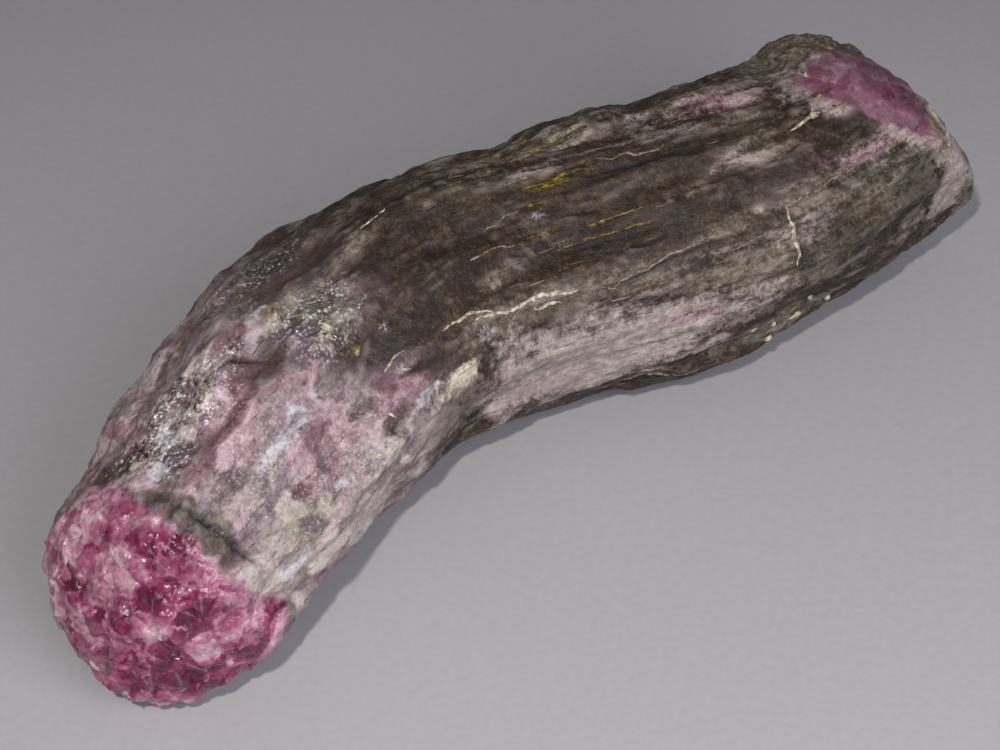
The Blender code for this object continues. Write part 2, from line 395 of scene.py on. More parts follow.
def crystalForm():
    rings = crystalRings()
    form = {key: [] for key in ("points", "tangent", "along", "angle", "share", "end")}
    for end in (-1, 0, 1):
        group = [ring for ring in rings if ring[3] == end]
        along, angle, share = (np.concatenate([ring[k] for ring in group]) for k in range(3))
        points, tangent = surfacePoints(along, angle, share, end)
        for key, values in (("points", points), ("tangent", tangent), ("along", along), ("angle", angle),
                            ("share", share), ("end", np.full(len(along), end))):
            form[key].append(values)
    form = {key: np.concatenate(values) for key, values in form.items()}
    numbers = []
    count = 0
    for ring in rings:
        numbers.append(list(range(count, count + len(ring[1]))))
        count += len(ring[1])
    faces = []
    for first, second in zip(numbers, numbers[1:]):
        faces += bridgeFaces(first, second)
    for ring, order in ((numbers[0], -1), (numbers[-1], 1)):
        for key, values in form.items():
            form[key] = np.concatenate([values, values[ring].mean(0, keepdims=True)])
        turned = ring[::order]
        faces += [(a, b, count) for a, b in zip(turned, turned[1:] + turned[:1])]
        count += 1
    form["faces"] = faces
    form["points"] = form["points"] - boxShift
    form["degrees"] = np.degrees(form["angle"])
    # places on the crystal as if it were straight, so that patterns run along it
    radius, angle = line.at(form["along"])[:, 3] * form["share"], form["angle"]
    form["straight"] = np.stack([form["along"], radius * np.sin(angle), radius * np.cos(angle)], -1)
    return form


# Where each mineral shows
# Places are along (mm from the first station), around (degrees from straight up to the hollow
# side), half length (mm), half width (degrees) and strength.
minerals = {
    # schorl-dark skin, smooth between the striations
    "dark": (
        (66, 22, 15, 22, 0.95), (92, 21, 20, 12, 1.0), (97, 46, 17, 8, 1.0), (104, 17, 9, 7, 1.0),
        (58, 40, 12, 10, 0.9), (50, 38, 7, 8, 0.8), (112, 40, 6, 9, 0.8), (116, 10, 4, 7, 0.25),
        (121, 15, 4, 6, 0.4), (129, 33, 6, 7, 0.9), (119, 40, 5, 6, 0.8), (126, 78, 8, 18, 0.45),
        (137, 71, 5.5, 10, 0.55), (59, 96, 8, 20, 0.45), (44.5, 62, 3, 4, 0.6), (41, 50, 2.5, 3.5, 0.55),
        (16.4, 13, 2.2, 17, 0.75), (17.0, 38, 2.1, 16, 0.75), (37, 12, 4.5, 5, 0.8), (46, 32, 6, 7, 0.8),
        (60, -20, 22, 14, 0.45), (53, -16, 9, 17, 0.6), (96, 150, 44, 16, 0.6), (80, 250, 46, 44, 0.6),
        (40, 262, 22, 30, 0.5), (82, 66, 9, 5, 0.5), (20, -32, 3.5, 9, 0.7), (108, -22, 10, 10, 0.5),
        (122, 222, 18, 22, 0.5), (56, 56, 5, 6, 0.7),
    ),
    # pale, tan-pink altered skin
    "pale": (
        (84, 96, 20, 24, 1.0), (98, 88, 9, 12, 1.0), (26, 30, 6, 12, 0.2), (34, 84, 15, 18, 1.0),
        (34, 110, 16, 22, 1.0), (19, 84, 4, 22, 1.0), (36, 46, 5, 8, 0.6), (20, 98, 4, 18, 0.7),
        (19.6, -8, 2.4, 18, 0.9), (48, 78, 7, 14, 0.7), (53, 84, 8, 12, 0.9), (45, 66, 4, 5, 0.6),
        (96, 4, 10, 4, 0.45), (104, -8, 8, 7, 0.4), (29, -12, 7, 13, 0.75), (113, 31, 4.5, 7, 0.35),
        (107, 6, 5, 5, 0.6), (147, 85, 4, 28, 1.0), (72, 72, 7, 8, 0.5), (115, 46, 4, 6, 0.6),
        (58, 72, 4, 6, 0.9), (86, 8, 7, 4, 0.8), (79, 23, 5, 3, 0.6), (85, 27, 2.5, 3.5, 0.9),
        (24, 62, 5, 14, 0.7), (120, 64, 5, 6, 0.5), (110, 92, 8, 14, 0.5), (133, 6, 6, 12, 0.7),
        (95, 212, 30, 16, 0.5), (50, 200, 22, 20, 0.5),
    ),
    # pink tourmaline showing through the skin
    "rose": (
        (27, 10, 9, 10, 1.0), (20, 100, 3, 16, 0.6), (35, 46, 6, 9, 0.95), (46, 58, 6, 7, 0.75),
        (18.5, 46, 3, 8, 0.6), (78, 106, 12, 14, 0.4), (100, 86, 7, 5, 0.55), (117, -3, 8, 8, 0.55),
        (111.5, 26, 3, 5, 0.4), (123, 41, 6, 5, 0.5), (131, 46, 6, 5, 0.55), (18.6, -12, 1.8, 16, 0.6),
        (38, 22, 5, 7, 0.45), (24, 24, 4, 7, 0.5), (30, 66, 6, 8, 0.5), (66, 84, 8, 8, 0.5),
        (62, 292, 9, 9, 0.5), (104, 240, 9, 8, 0.5), (32, 286, 7, 10, 0.6),
    ),
    # yellow-green clay and mica
    "olive": (
        (47, 10, 6, 15, 0.95), (40, -35, 3, 6, 0.8), (137, 70, 6, 11, 0.7), (46, -6, 5, 6, 0.6),
        (27, 63, 5, 8, 0.7), (93, -8, 6, 5, 0.7), (60, 95, 7, 18, 0.6), (126, 80, 8, 16, 0.3),
        (70, 228, 10, 12, 0.6), (104, 292, 9, 9, 0.5),
    ),
    # blue-white lithium mica
    "lilac": (
        (21, -2, 2.4, 6, 1.0), (44, -9, 2, 5, 0.5), (52, 67, 3.8, 2.0, 0.8), (50, 36, 3.5, 3, 0.45),
        (23, 82, 1.4, 2.6, 0.6), (28, -13, 5, 7, 0.35), (67.5, 62, 2.2, 3.0, 0.6),
        (33, 64, 2.4, 2.6, 0.75), (30, 33, 5.0, 2.8, 0.85), (33.8, 31, 1.4, 5, 0.75),
        (85.5, 25, 1.2, 2.2, 0.45), (24, 74, 2, 5, 0.6), (90, 262, 3, 4, 0.6),
    ),
    # cream crust
    "cream": (
        (21.8, -21, 1.2, 2.2, 1.0), (22.5, -16, 1.0, 2.0, 1.0), (60, 71, 3, 4, 0.9),
        (27.5, 34.5, 1.2, 1.2, 0.6), (56, 73, 1.6, 3, 0.8), (147, 62, 2.4, 4, 0.6),
        (127, 21, 1.2, 1.8, 0.8), (45, 20, 2, 2.6, 0.5), (131, 2, 2.2, 5, 0.5),
    ),
    # golden, iron-stained mica
    "gold": (
        (88.5, 13, 3.6, 2.2, 1.0), (92.5, 11.5, 2.2, 1.8, 1.0), (85, 20.5, 1.3, 1.5, 1.0),
        (83, 33, 2.2, 2, 0.7), (92, -8, 5, 4, 0.6), (130, 13, 1.5, 3, 1.0), (130.4, 21, 1.2, 2, 0.9),
        (44.5, 21.5, 0.8, 1.6, 0.9), (47.2, 34, 1.2, 1.3, 0.9), (39.8, -35, 1.6, 3, 0.8),
        (87, 40, 3, 1.8, 0.7), (25, 15, 0.8, 1.6, 0.7), (24, 66, 1.2, 2.4, 0.5), (44, -2, 1.5, 2.2, 0.7),
    ),
    # grey-green dusting of fine mica and clay between the dark and the pale skin
    "dust": (
        (113, 31, 6, 8, 0.9), (27, 33, 6, 10, 0.4), (24, 50, 5, 10, 0.35), (86, 61, 22, 7, 0.95),
        (72, 58, 10, 6, 0.8), (120, 68, 14, 24, 0.6), (132, 58, 8, 12, 0.7), (106, 52, 10, 6, 0.7),
        (76, 8, 10, 8, 0.7), (100, 26, 5, 4, 0.6), (64, 4, 10, 9, 0.6), (113, 14, 9, 9, 0.6),
        (136, 40, 8, 10, 0.6), (90, -16, 22, 10, 0.6), (128, -14, 14, 12, 0.8), (80, 170, 40, 24, 0.4),
        (110, 250, 22, 24, 0.5),
    ),
    # bright mica on the upper side of the near arm: its flakes and leaning plates glint, and it gets painted
    # white glints in the skin's colour too
    "mica": (
        (28, -14, 8, 16, 1.0), (36, -4, 3, 5, 0.8), (22, -30, 3, 8, 0.7), (22, 0, 3, 9, 0.6),
        (47, 12, 6, 14, 0.6), (50, -30, 8, 12, 0.35), (25, 28, 7, 14, 0.25), (34, 60, 12, 16, 0.2),
        (60, 280, 20, 16, 0.3),
    ),
    # dark glassy lens with a highlight
    "glass": ((34.8, 7, 2.8, 6.5, 0.8), (28.6, 13, 4.0, 3.0, 0.9)),
}

# Narrow cracks and grooves: path of (along, around), width in mm, depth in mm.
cracks = (
    (((16.6, 12), (17.2, 24), (17.8, 36), (18.4, 48), (19.2, 60)), 0.9, 0.8),
    (((23.8, -30), (23.2, -24), (22.6, -18), (22.2, -12)), 0.6, 0.6),
    (((42.4, 63), (43.0, 65.5), (43.4, 67)), 1.1, 0.9),
    (((96.2, 97), (97.0, 100.5), (98.4, 101), (99.2, 98.5), (97.8, 97.2), (96.2, 97)), 0.35, 0.4),
    (((33.4, -4), (35.6, -2), (37.0, 4), (37.4, 10)), 0.7, 0.6),
    (((30.4, 31), (32.6, 31), (34.8, 32), (36.0, 36)), 0.5, 0.4),
    (((90.0, 37.5), (94.0, 37.2), (99.4, 36.6)), 0.8, 0.45),
    (((86.0, 43.0), (92.0, 43.0), (100.0, 43.0)), 0.9, 0.45),
    (((89.0, 61.5), (93.0, 62.5), (97.4, 61.2), (100.0, 59.2), (104.0, 57.4), (108.0, 56.5)), 0.8, 0.55),
    (((117.8, 55), (118.4, 64), (118.6, 74), (118.4, 86)), 0.7, 0.4),
    (((66.0, 63), (67.8, 70), (68.6, 80), (69.4, 90)), 0.8, 0.5),
    (((48.0, 52), (51.0, 54), (55.0, 57), (59.0, 60)), 0.8, 0.5),
    (((92.6, 14.5), (98.0, 15.5), (104.0, 16.5), (110.0, 20.0)), 0.9, 0.5),
    (((74.0, 232), (82.0, 236), (92.0, 238)), 0.9, 0.5),
    (((44.0, 276), (52.0, 282), (60.0, 284)), 0.9, 0.5),
)


def addPlaces(form, places, wander=0.5, soft=0.55, fine=2.6):
    # irregular patches with wandering borders; fine is the size of the wandering in mm
    total = np.zeros(len(form["along"]))
    for along, around, halfLength, halfWidth, strength in places:
        away = degreesFrom(form["degrees"], around)
        reach = np.hypot((form["along"] - along) / halfLength, away / halfWidth)
        near = np.flatnonzero(reach < 2.2)
        if not len(near):
            continue
        spots = form["straight"][near] * np.array((0.45, 1, 1)) / fine + along * 1.7
        ragged = wander * (perlin(spots) + 0.6 * perlin(spots * 2.3) + 0.7 * perlin(spots * 0.4))
        value = strength * (1 - smoothStep(1 - soft, 1 + soft, reach[near] + ragged))
        total[near] = np.maximum(total[near], value)
    return total


def pathDistance(form, near, path):
    # distance in mm over the unrolled side to a path, and how far along the path that is
    middle = path[0][1]
    u, v = form["along"][near], degreesFrom(form["degrees"][near], middle) * degreeLength
    best, place = np.full(len(near), 1e9), np.zeros(len(near))
    for k, ((s0, a0), (s1, a1)) in enumerate(zip(path, path[1:])):
        y0 = degreesFrom(a0, middle) * degreeLength
        dx, dy = s1 - s0, degreesFrom(a1, middle) * degreeLength - y0
        t = np.clip(((u - s0) * dx + (v - y0) * dy) / (dx * dx + dy * dy), 0, 1)
        away = np.hypot(u - s0 - t * dx, v - y0 - t * dy)
        place = np.where(away < best, (k + t) / (len(path) - 1), place)
        best = np.minimum(best, away)
    return best, place


def addCracks(form):
    depth = np.zeros(len(form["along"]))
    for path, width, height in cracks:
        low, high = min(p[0] for p in path) - 3, max(p[0] for p in path) + 3
        near = np.flatnonzero((form["along"] > low) & (form["along"] < high) & (form["share"] > 0.9))
        away, place = pathDistance(form, near, path)
        away = away + 0.35 * perlin(form["straight"][near] / 1.3 + low)
        taper = np.sqrt(np.clip(4 * place * (1 - place), 0, 1)) * 0.8 + 0.2
        value = height * taper * np.exp(-(away / (width * 0.5 * taper)) ** 2)
        depth[near] = np.maximum(depth[near], value)
    return depth


# The broken pink face
grains = {
    "sizes": (3.4, 1.7),  # mm, the two sizes of grain that the break shows
    "heights": (0.95, 0.34),
    "farShare": 0.25,  # how much of that the weathered far break keeps
    "tilt": (0.75, 0.7),  # how far the facets lean
    # near break: how far its pink reaches past the rim, mm, by degrees around
    "nearEdge": ((-60, -37, -20, 3, 20, 42, 60, 85, 120), (1.2, 0.8, 0.1, 0.3, 0.0, 0.3, 0.4, 1.0, 1.6)),
    # far hump: where its pink starts along the top, by degrees around, and where it ends sideways
    "farEdge": ((-30, -12, 4, 12, 21, 31, 45, 60), (134, 131, 128.6, 129.6, 131.2, 134.0, 138.2, 144)),
    "farSides": ((-14, -4), (52, 66)),
    # skin over the far break: angle, half width, shares of the way to the rim where it starts and is whole
    "farCrust": (
        (92, 34, 0.65, 0.79), (-42, 36, 0.59, 0.73), (-66, 24, 0.11, 0.25), (-105, 48, 0.59, 0.73),
        (-165, 26, 0.69, 0.83), (-4, 22, 0.76, 0.64),
    ),
    # patches of the near break: angle, share of the way to the rim, radius in mm
    "deep": (
        (28, 0.92, 3.4), (33, 0.39, 2.8), (38, 0.62, 2.4), (130, 0.35, 3.0), (112, 0.66, 4.2),
        (60, 0.80, 2.6), (90, 0.55, 2.6), (100, 0.92, 2.6), (-60, 0.55, 2.4), (-20, 0.80, 2.0),
        (160, 0.62, 2.6), (75, 0.93, 1.8),
    ),
    "frost": (
        (99, 0.74, 1.6), (-112, 0.82, 4.0), (168, 0.84, 3.6), (-56, 0.92, 4.4), (-80, 0.88, 3.8),
        (150, 0.90, 2.4), (-150, 0.5, 2.6), (55, 0.52, 2.2), (-30, 0.97, 3.0),
    ),
    "pits": ((-28, 0.29, 1.3), (-76, 0.72, 1.0), (100, 0.60, 0.9)),
}


def waver(points, size, offsets):
    # a small shift of each point, so that the borders between grains aren't straight
    return 0.5 * np.stack([perlin(points / size + offset) for offset in offsets], -1)


def facets(points, size, tilt):
    # height, tone and distance from the border of angular grains, each leaning its own way
    height, tone, border = [], [], []
    for p in (points / size).tolist():
        near, cells = noise.voronoi(p)
        seed = cells[0] * 7.31
        lean = Vector([noise.noise(s) for s in (seed, seed + Vector((5.2, 1.3, 8.1)), seed.zyx * 1.7)])
        away = Vector(p) - cells[0]
        height.append(noise.noise(seed.yzx * 2.1) * 0.6 + away.dot(lean) * 2.2 * tilt)
        tone.append(0.5 + 1.3 * noise.noise(seed.zxy * 1.3))
        border.append(near[1] - near[0])
    return np.array(height), np.clip(tone, 0, 1), np.array(border)


def pinkArea(form):
    # 1 on the broken faces, fading raggedly just past their rims
    along, share, turn = form["along"], form["share"], degreesFrom(form["degrees"], 0)
    rim = np.where(form["end"] == 1, 1.0, 0.0)
    front = np.flatnonzero(along < 40)
    around, reach = grains["nearEdge"]
    past = along[front] - nearEnd(form["angle"][front], 1.0)
    past -= np.interp(degreesFrom(form["degrees"][front], 30), np.array(around) - 30, reach)
    spots = form["points"][front]
    past += 1.2 * perlin(spots / 3.4) + 1.2 * perlin(spots / 1.5) + 0.6 * perlin(spots / 0.7)
    rim[front] = np.maximum(rim[front], 1 - smoothStep(-1.3, 1.7, past))
    # the far hump's pink comes over the edge on top, between two sides
    side = np.flatnonzero(form["end"] == 0)
    end = farEnd(form["angle"][side], 1.0)[0]
    ragged = 1.3 * perlin(form["straight"][side] / 2.4) + 0.6 * perlin(form["straight"][side] / 0.9)
    edge = np.interp(turn[side], *grains["farEdge"])
    farRim = smoothStep(-1.6, 1.6, along[side] - np.minimum(edge, end + 0.6) + ragged)
    first, last = grains["farSides"]
    farRim *= smoothStep(*first, turn[side]) * (1 - smoothStep(*last, turn[side]))
    rim[side] = np.maximum(rim[side], farRim)
    # and the skin wraps back over it
    cap = np.flatnonzero(form["end"] == 1)
    away = turn[cap] + 9 * perlin(form["straight"][cap] / 3)
    place = share[cap] + 0.14 * perlin(form["points"][cap] / 2.5)
    for centre, halfWidth, bare, whole in grains["farCrust"]:
        off = smoothStep(halfWidth + 12, halfWidth, np.abs(degreesFrom(away, centre)))
        rim[cap] *= 1 - off * smoothStep(bare, whole, place)
    return rim


def breakRelief(form, rim):
    # height in mm and tone of the grains on the broken faces
    height = np.zeros(len(rim))
    tone = np.full(len(rim), 0.5)
    inPink = np.flatnonzero(rim > 0.01)
    points = form["points"][inPink]
    points = points + waver(points, 1.6, (0, 7, 19))
    for size, depth, tilt in zip(grains["sizes"], grains["heights"], grains["tilt"]):
        rise, own, border = facets(points, size, tilt)
        inner = smoothStep(0.0, 0.30, border)
        height[inPink] += depth * (rise * inner - 0.35 * (1 - inner))
        # the large grains give most of the tone
        tone[inPink] = own if size == grains["sizes"][0] else 0.65 * tone[inPink] + 0.35 * own
    height *= np.where(form["along"] > 60, grains["farShare"], 1.0)
    return height * rim, tone


def breakPlaces(form, places):
    # round patches on the near break
    total = np.zeros(len(form["along"]))
    nearRim = (form["end"] == 0) & (np.abs(form["along"] - nearEnd(form["angle"], 1.0)) < 4)
    cap = np.flatnonzero((form["end"] == -1) | nearRim)
    for degrees, share, radius in places:
        a, s = np.array([math.radians(degrees)]), np.array([share])
        centre = surfacePoints(nearEnd(a, s), a, s, -1)[0][0] - boxShift
        reach = np.linalg.norm(form["points"][cap] - centre, axis=1) / radius
        close = cap[reach < 2.2]
        ragged = 0.45 * perlin(form["points"][close] / 1.5) + 0.25 * perlin(form["points"][close] / 0.7)
        value = 1 - smoothStep(0.65, 1.3, reach[reach < 2.2] + ragged)
        total[close] = np.maximum(total[close], value)
    return total


def layMinerals(form):
    # how much of each mineral there is at every point, from 0 to 1
    masks = {name: addPlaces(form, places) for name, places in minerals.items()}
    along, straight, turn = form["along"], form["straight"], degreesFrom(form["degrees"], 0)
    # a pale seam with some pink in it runs along the edge of the far hump
    edge = np.interp(turn, *grains["farEdge"])
    seam = np.exp(-((along - edge + 1.2 + 1.6 * perlin(straight / 3)) / 2.2) ** 2)
    seam *= smoothStep(-16, -4, turn) * (1 - smoothStep(60, 74, turn))
    masks["pale"] = np.maximum(masks["pale"], 0.75 * seam)
    masks["rose"] = np.maximum(masks["rose"], 0.45 * seam)
    # dust drifts over the long arm and covers the skin of the far break
    drift = perlin(straight / np.array((9.0, 3.6, 3.6)) + 31) + 0.5 * perlin(straight / 1.6)
    dust = smoothStep(0.0, 0.5, drift) * smoothStep(44, 62, along) * (1 - 0.6 * masks["dark"])
    farSkin = smoothStep(-7, -2, along - farEnd(form["angle"], 1.0)[0]) * (form["end"] == 0)
    masks["dust"] = np.maximum(np.maximum(masks["dust"], dust), 0.95 * ((form["end"] == 1) + farSkin))
    masks.update({label: breakPlaces(form, grains[label]) for label in ("deep", "frost", "pits")})
    masks.update({"longArm": smoothStep(38, 66, along), "farEnd": smoothStep(90, 110, along)})
    masks["break"] = pinkArea(form)
    return masks


# Fine relief of the skin, mm
skinRelief = {
    # patterns on the crystal as if it were straight: length, width, offset
    "patterns": {
        "striae": (14.0, 0.85, 0), "fineStriae": (8.0, 0.5, 40), "plates": (6.5, 2.2, 11),
        "smallPlates": (3.6, 1.3, 23), "lumps": (1.5, 1.5, 5), "smallLumps": (0.75, 0.75, 3),
    },
    "heights": {"striae": 0.20, "fineStriae": 0.10, "plates": 0.20, "smallPlates": 0.14},
    "steps": {"plates": 0.04, "smallPlates": 0.05},  # how soft the plates' edges are
    "rough": (0.192, 0.212),  # on the near arm, on the long arm
    "smooth": {"dark": 0.45, "pale": 0.5},  # share of the long arm's relief that these take away
    "cream": 0.18,  # the crust stands up
    "glass": 0.15,  # and the glassy lenses are sunk
    "underside": (182, 34, 0.85),  # angle, half width and how much of the relief is worn off there
    # the near arm is a mosaic of altered grains, each with its own height and shade
    "mosaic": {
        "size": 2.6, "tilt": 0.6, "stretch": 0.70, "height": 0.34, "gap": 0.12, "edge": 0.12, "end": 70.0,
    },
    "breakShare": 0.62,  # of the grains' full height
    "pitDepth": 0.9,
}


def skinHeight(form, masks):
    straight, longArm = form["straight"], masks["longArm"]
    pattern = {}
    for label, (length, width, offset) in skinRelief["patterns"].items():
        pattern[label] = perlin(straight / np.array((length, width, width)) + offset)
    size = skinRelief["heights"]
    near, far = skinRelief["rough"]
    height = longArm * (size["striae"] * pattern["striae"] + size["fineStriae"] * pattern["fineStriae"])
    height += (near * (1 - longArm) + far * longArm) * (pattern["lumps"] + 0.6 * pattern["smallLumps"])
    for label, step in skinRelief["steps"].items():
        height += size[label] * (smoothStep(-step, step, pattern[label]) - 0.5)
    smooth = sum(share * masks[label] for label, share in skinRelief["smooth"].items())
    return height * (1 - longArm * smooth)


def addMosaic(form, masks, height, tone):
    look = skinRelief["mosaic"]
    arm = np.flatnonzero((form["end"] == 0) & (form["along"] < look["end"]))
    straight = form["straight"][arm]
    spots = straight * np.array((look["stretch"], 1, 1)) + waver(straight, 1.8, (3, 11, 29))
    rise, own, border = facets(spots, look["size"], look["tilt"])
    inner = smoothStep(0.0, look["edge"], border)
    height[arm] += look["height"] * (1 - masks["longArm"][arm]) * (rise * inner - look["gap"] * (1 - inner))
    tone[arm] = tone[arm] * masks["break"][arm] + own * (1 - masks["break"][arm])
    hue = np.full(len(height), 0.5)
    hue[arm] = 0.5 + 0.5 * np.sin(57 * own)  # a second shade for each grain, apart from its tone
    return hue


def crystalBody():
    form = crystalForm()
    report(f"form: {len(form['points'])} points")
    body = meshObject("crystal_body", form["points"] * mm, form["faces"])
    mesh = body.data
    normals = np.empty(len(form["points"]) * 3)
    mesh.vertices.foreach_get("normal", normals)
    form["normals"] = normals.reshape(-1, 3)

    masks = layMinerals(form)
    rim = masks["break"]
    crack = addCracks(form)
    breakHeight, tone = breakRelief(form, rim)
    report("minerals laid out")

    skinHeights = skinHeight(form, masks)
    hue = addMosaic(form, masks, skinHeights, tone)
    centre, width, worn = skinRelief["underside"]
    skinHeights *= (1 - rim) * (1 - worn * np.exp(-(degreesFrom(form["degrees"], centre) / width) ** 2))
    skinHeights += skinRelief["cream"] * masks["cream"] - skinRelief["glass"] * masks["glass"]
    height = skinHeights + breakHeight * skinRelief["breakShare"] - crack * (1 - rim)
    height -= skinRelief["pitDepth"] * masks["pits"] + crystal["inset"]
    low, high = (np.array(corner) / mm for corner in cadBox)
    points = form["points"] + form["normals"] * height[:, None]
    points = np.clip(points, low + crystal["clear"], high - crystal["clear"])
    points[:, 2] = np.maximum(points[:, 2], crystal["clear"])
    mesh.vertices.foreach_set("co", (points * mm).astype(np.float32).ravel())
    form["points"] = points

    # the height also paints a highlight on raised parts and shade in hollows into the skin's colour
    masks.update({"tone": tone, "grainHue": hue, "crack": np.clip(crack / 0.5 + masks["pits"], 0, 1),
                  "height": np.clip(0.5 + skinHeights / 0.7, 0, 1)})
    for name, values in masks.items():
        storeFloat(mesh, name, values)
    storeVector(mesh, "straight", form["straight"])
    storeVector(mesh, "tangent", form["tangent"])
    onBreak = np.array([all(rim[list(face)] > 0.6) for face in form["faces"]])
    mesh.polygons.foreach_set("material_index", onBreak.astype(np.int32))
    mesh.update()
    report(f"body: {sum(len(p.vertices) - 2 for p in mesh.polygons)} triangles")
    return body, form, masks


body, form, masks = crystalBody()


# Materials
def newMaterial(name):
    material = bpy.data.materials.new(name)
    material.use_nodes = True
    tree = material.node_tree
    return material, tree, tree.nodes["Principled BSDF"]


def blend(tree, parts, total=0.0):
    # weighted sum of patterns
    for pattern, weight in parts:
        total = node(tree, "Math", {"operation": "MULTIPLY_ADD"}, i0=pattern, i1=weight, i2=total)
    return total


def letLightIn(tree, shader, share):
    # light goes about a millimetre deep into clear pink tourmaline and comes out redder
    feed(tree, shader, Subsurface_Weight=share, Subsurface_Radius=(1.0, 0.35, 0.5), Subsurface_Scale=1.2 * mm)


skin = {
    # patterns on the crystal as if it were straight: features per mm, stretch along it, offset, detail,
    # roughness, distortion
    "patterns": {
        "blotch": (0.36, 0.6, (3, 1, 7), 3.0, 0.55, 0.5),  # 3 mm
        "mottle": (1.0, 0.75, (0, 0, 0), 4.0, 0.68, 0.15),  # 1 mm
        "speck": (3.2, 0.85, (9, 2, 4), 2.0, 0.6, 0.0),  # 0.3 mm
        "streak": (1.2, 0.13, (5, 8, 2), 4.0, 0.65, 0.15),  # 6 mm by 0.8 mm
        "streakFine": (3.0, 0.08, (1, 4, 9), 3.0, 0.6, 0.1),  # 4 mm by 0.3 mm
    },
    # each mineral from its darkest to its palest grain, and where those lie in the pattern of the grain
    "colours": {
        "nearArm": ("#6a5c61", "#918183", "#baacb0"),
        "longArm": ("#1b1107", "#332414", "#564633"),
        "dust": ("#4a4136", "#6f6557", "#9a9081"),
        "pale": ("#8b7e77", "#a79a93", "#c6bbb4"),
        "rose": ("#7b5560", "#9b7882", "#bca2a9"),
        "olive": ("#454034", "#777061", "#a8a28f"),
        "dark": ("#1d1308", "#2e2113", "#483a29"),
        "lilac": ("#86807f", "#b2aeb3", "#dad8de"),
        "cream": ("#928670", "#c0b69d", "#ded6c0"),
        "gold": ("#37301a", "#665416", "#a78c26"),
        "glass": ("#2f1b20", "#553440", "#8a5f6e"),
    },
    "levels": (0.415, 0.5, 0.585),
    # order of the minerals, one over the other: name, reach, softness, raggedness, strength
    "layers": (
        ("dust", 0.85, 0.42, 0.65, 0.72), ("pale", 0.95, 0.36, 0.6, 0.90), ("rose", 0.95, 0.34, 0.65, 0.85),
        ("olive", 0.90, 0.32, 0.8, 0.85), ("dark", 1.0, 0.32, 0.65, 0.90), ("lilac", 0.85, 0.26, 0.9, 0.75),
        ("cream", 0.80, 0.26, 1.1, 0.9), ("glass", 0.90, 0.34, 0.7, 0.80),
    ),
    # near-black painted shade for the cracks and pits
    "crackShade": "#1b1613",
    # white of the painted glints on the mica: a painted highlight
    "paintedGlint": "#efecf0",
    # small plates lean at random, so that some of them glint: one each 0.5 mm, and 2 mm on the break
    "plates": {"small": 2000.0, "large": 500.0, "paintedGlints": 3400.0},  # the painted glints, white specks in the colour, are 0.3 mm
}

times = {"operation": "MULTIPLY"}
plus = {"operation": "ADD"}
less = {"operation": "SUBTRACT"}
held = {"operation": "MULTIPLY", "use_clamp": True}
larger = {"operation": "MAXIMUM"}
eased = {"interpolation_type": "SMOOTHSTEP"}
mixed = {"data_type": "RGBA"}
sized = {"operation": "SCALE"}


def skinPatterns(tree, mask):
    # noises that run along the prism; the grain picks each mineral's shade, wander breaks up its border
    straight = node(tree, "Attribute", {"attribute_name": "straight"}, "Vector")
    pattern = {}
    for label, (scale, stretch, place, detail, rough, twist) in skin["patterns"].items():
        moved = node(tree, "Mapping", Vector=straight, Scale=(stretch, 1, 1), Location=place)
        pattern[label] = node(tree, "TexNoise", Vector=moved, Scale=scale, Detail=detail,
                              Roughness=rough, Distortion=twist)
    blotch, mottle, speck, streak, _ = pattern.values()
    grainy = blend(tree, ((mottle, 0.34), (speck, 0.12), (blotch, 0.24), (mask["tone"], 0.16)), 0.07)
    striped = blend(tree, ((mottle, 0.38), (speck, 0.18), (blotch, 0.20), (streak, 0.24)))
    loose = blend(tree, ((mottle, 1.5), (speck, 0.5), (blotch, 1.1), (mask["tone"], 1.0)), -2.05)
    lined = blend(tree, ((mottle, 1.4), (speck, 0.6), (blotch, 0.7), (streak, 0.7)), -1.7)
    for label, near, far in (("grain", grainy, striped), ("wander", loose, lined)):
        pattern[label] = node(tree, "Mix", Factor=mask["longArm"], A=near, B=far)
    return pattern


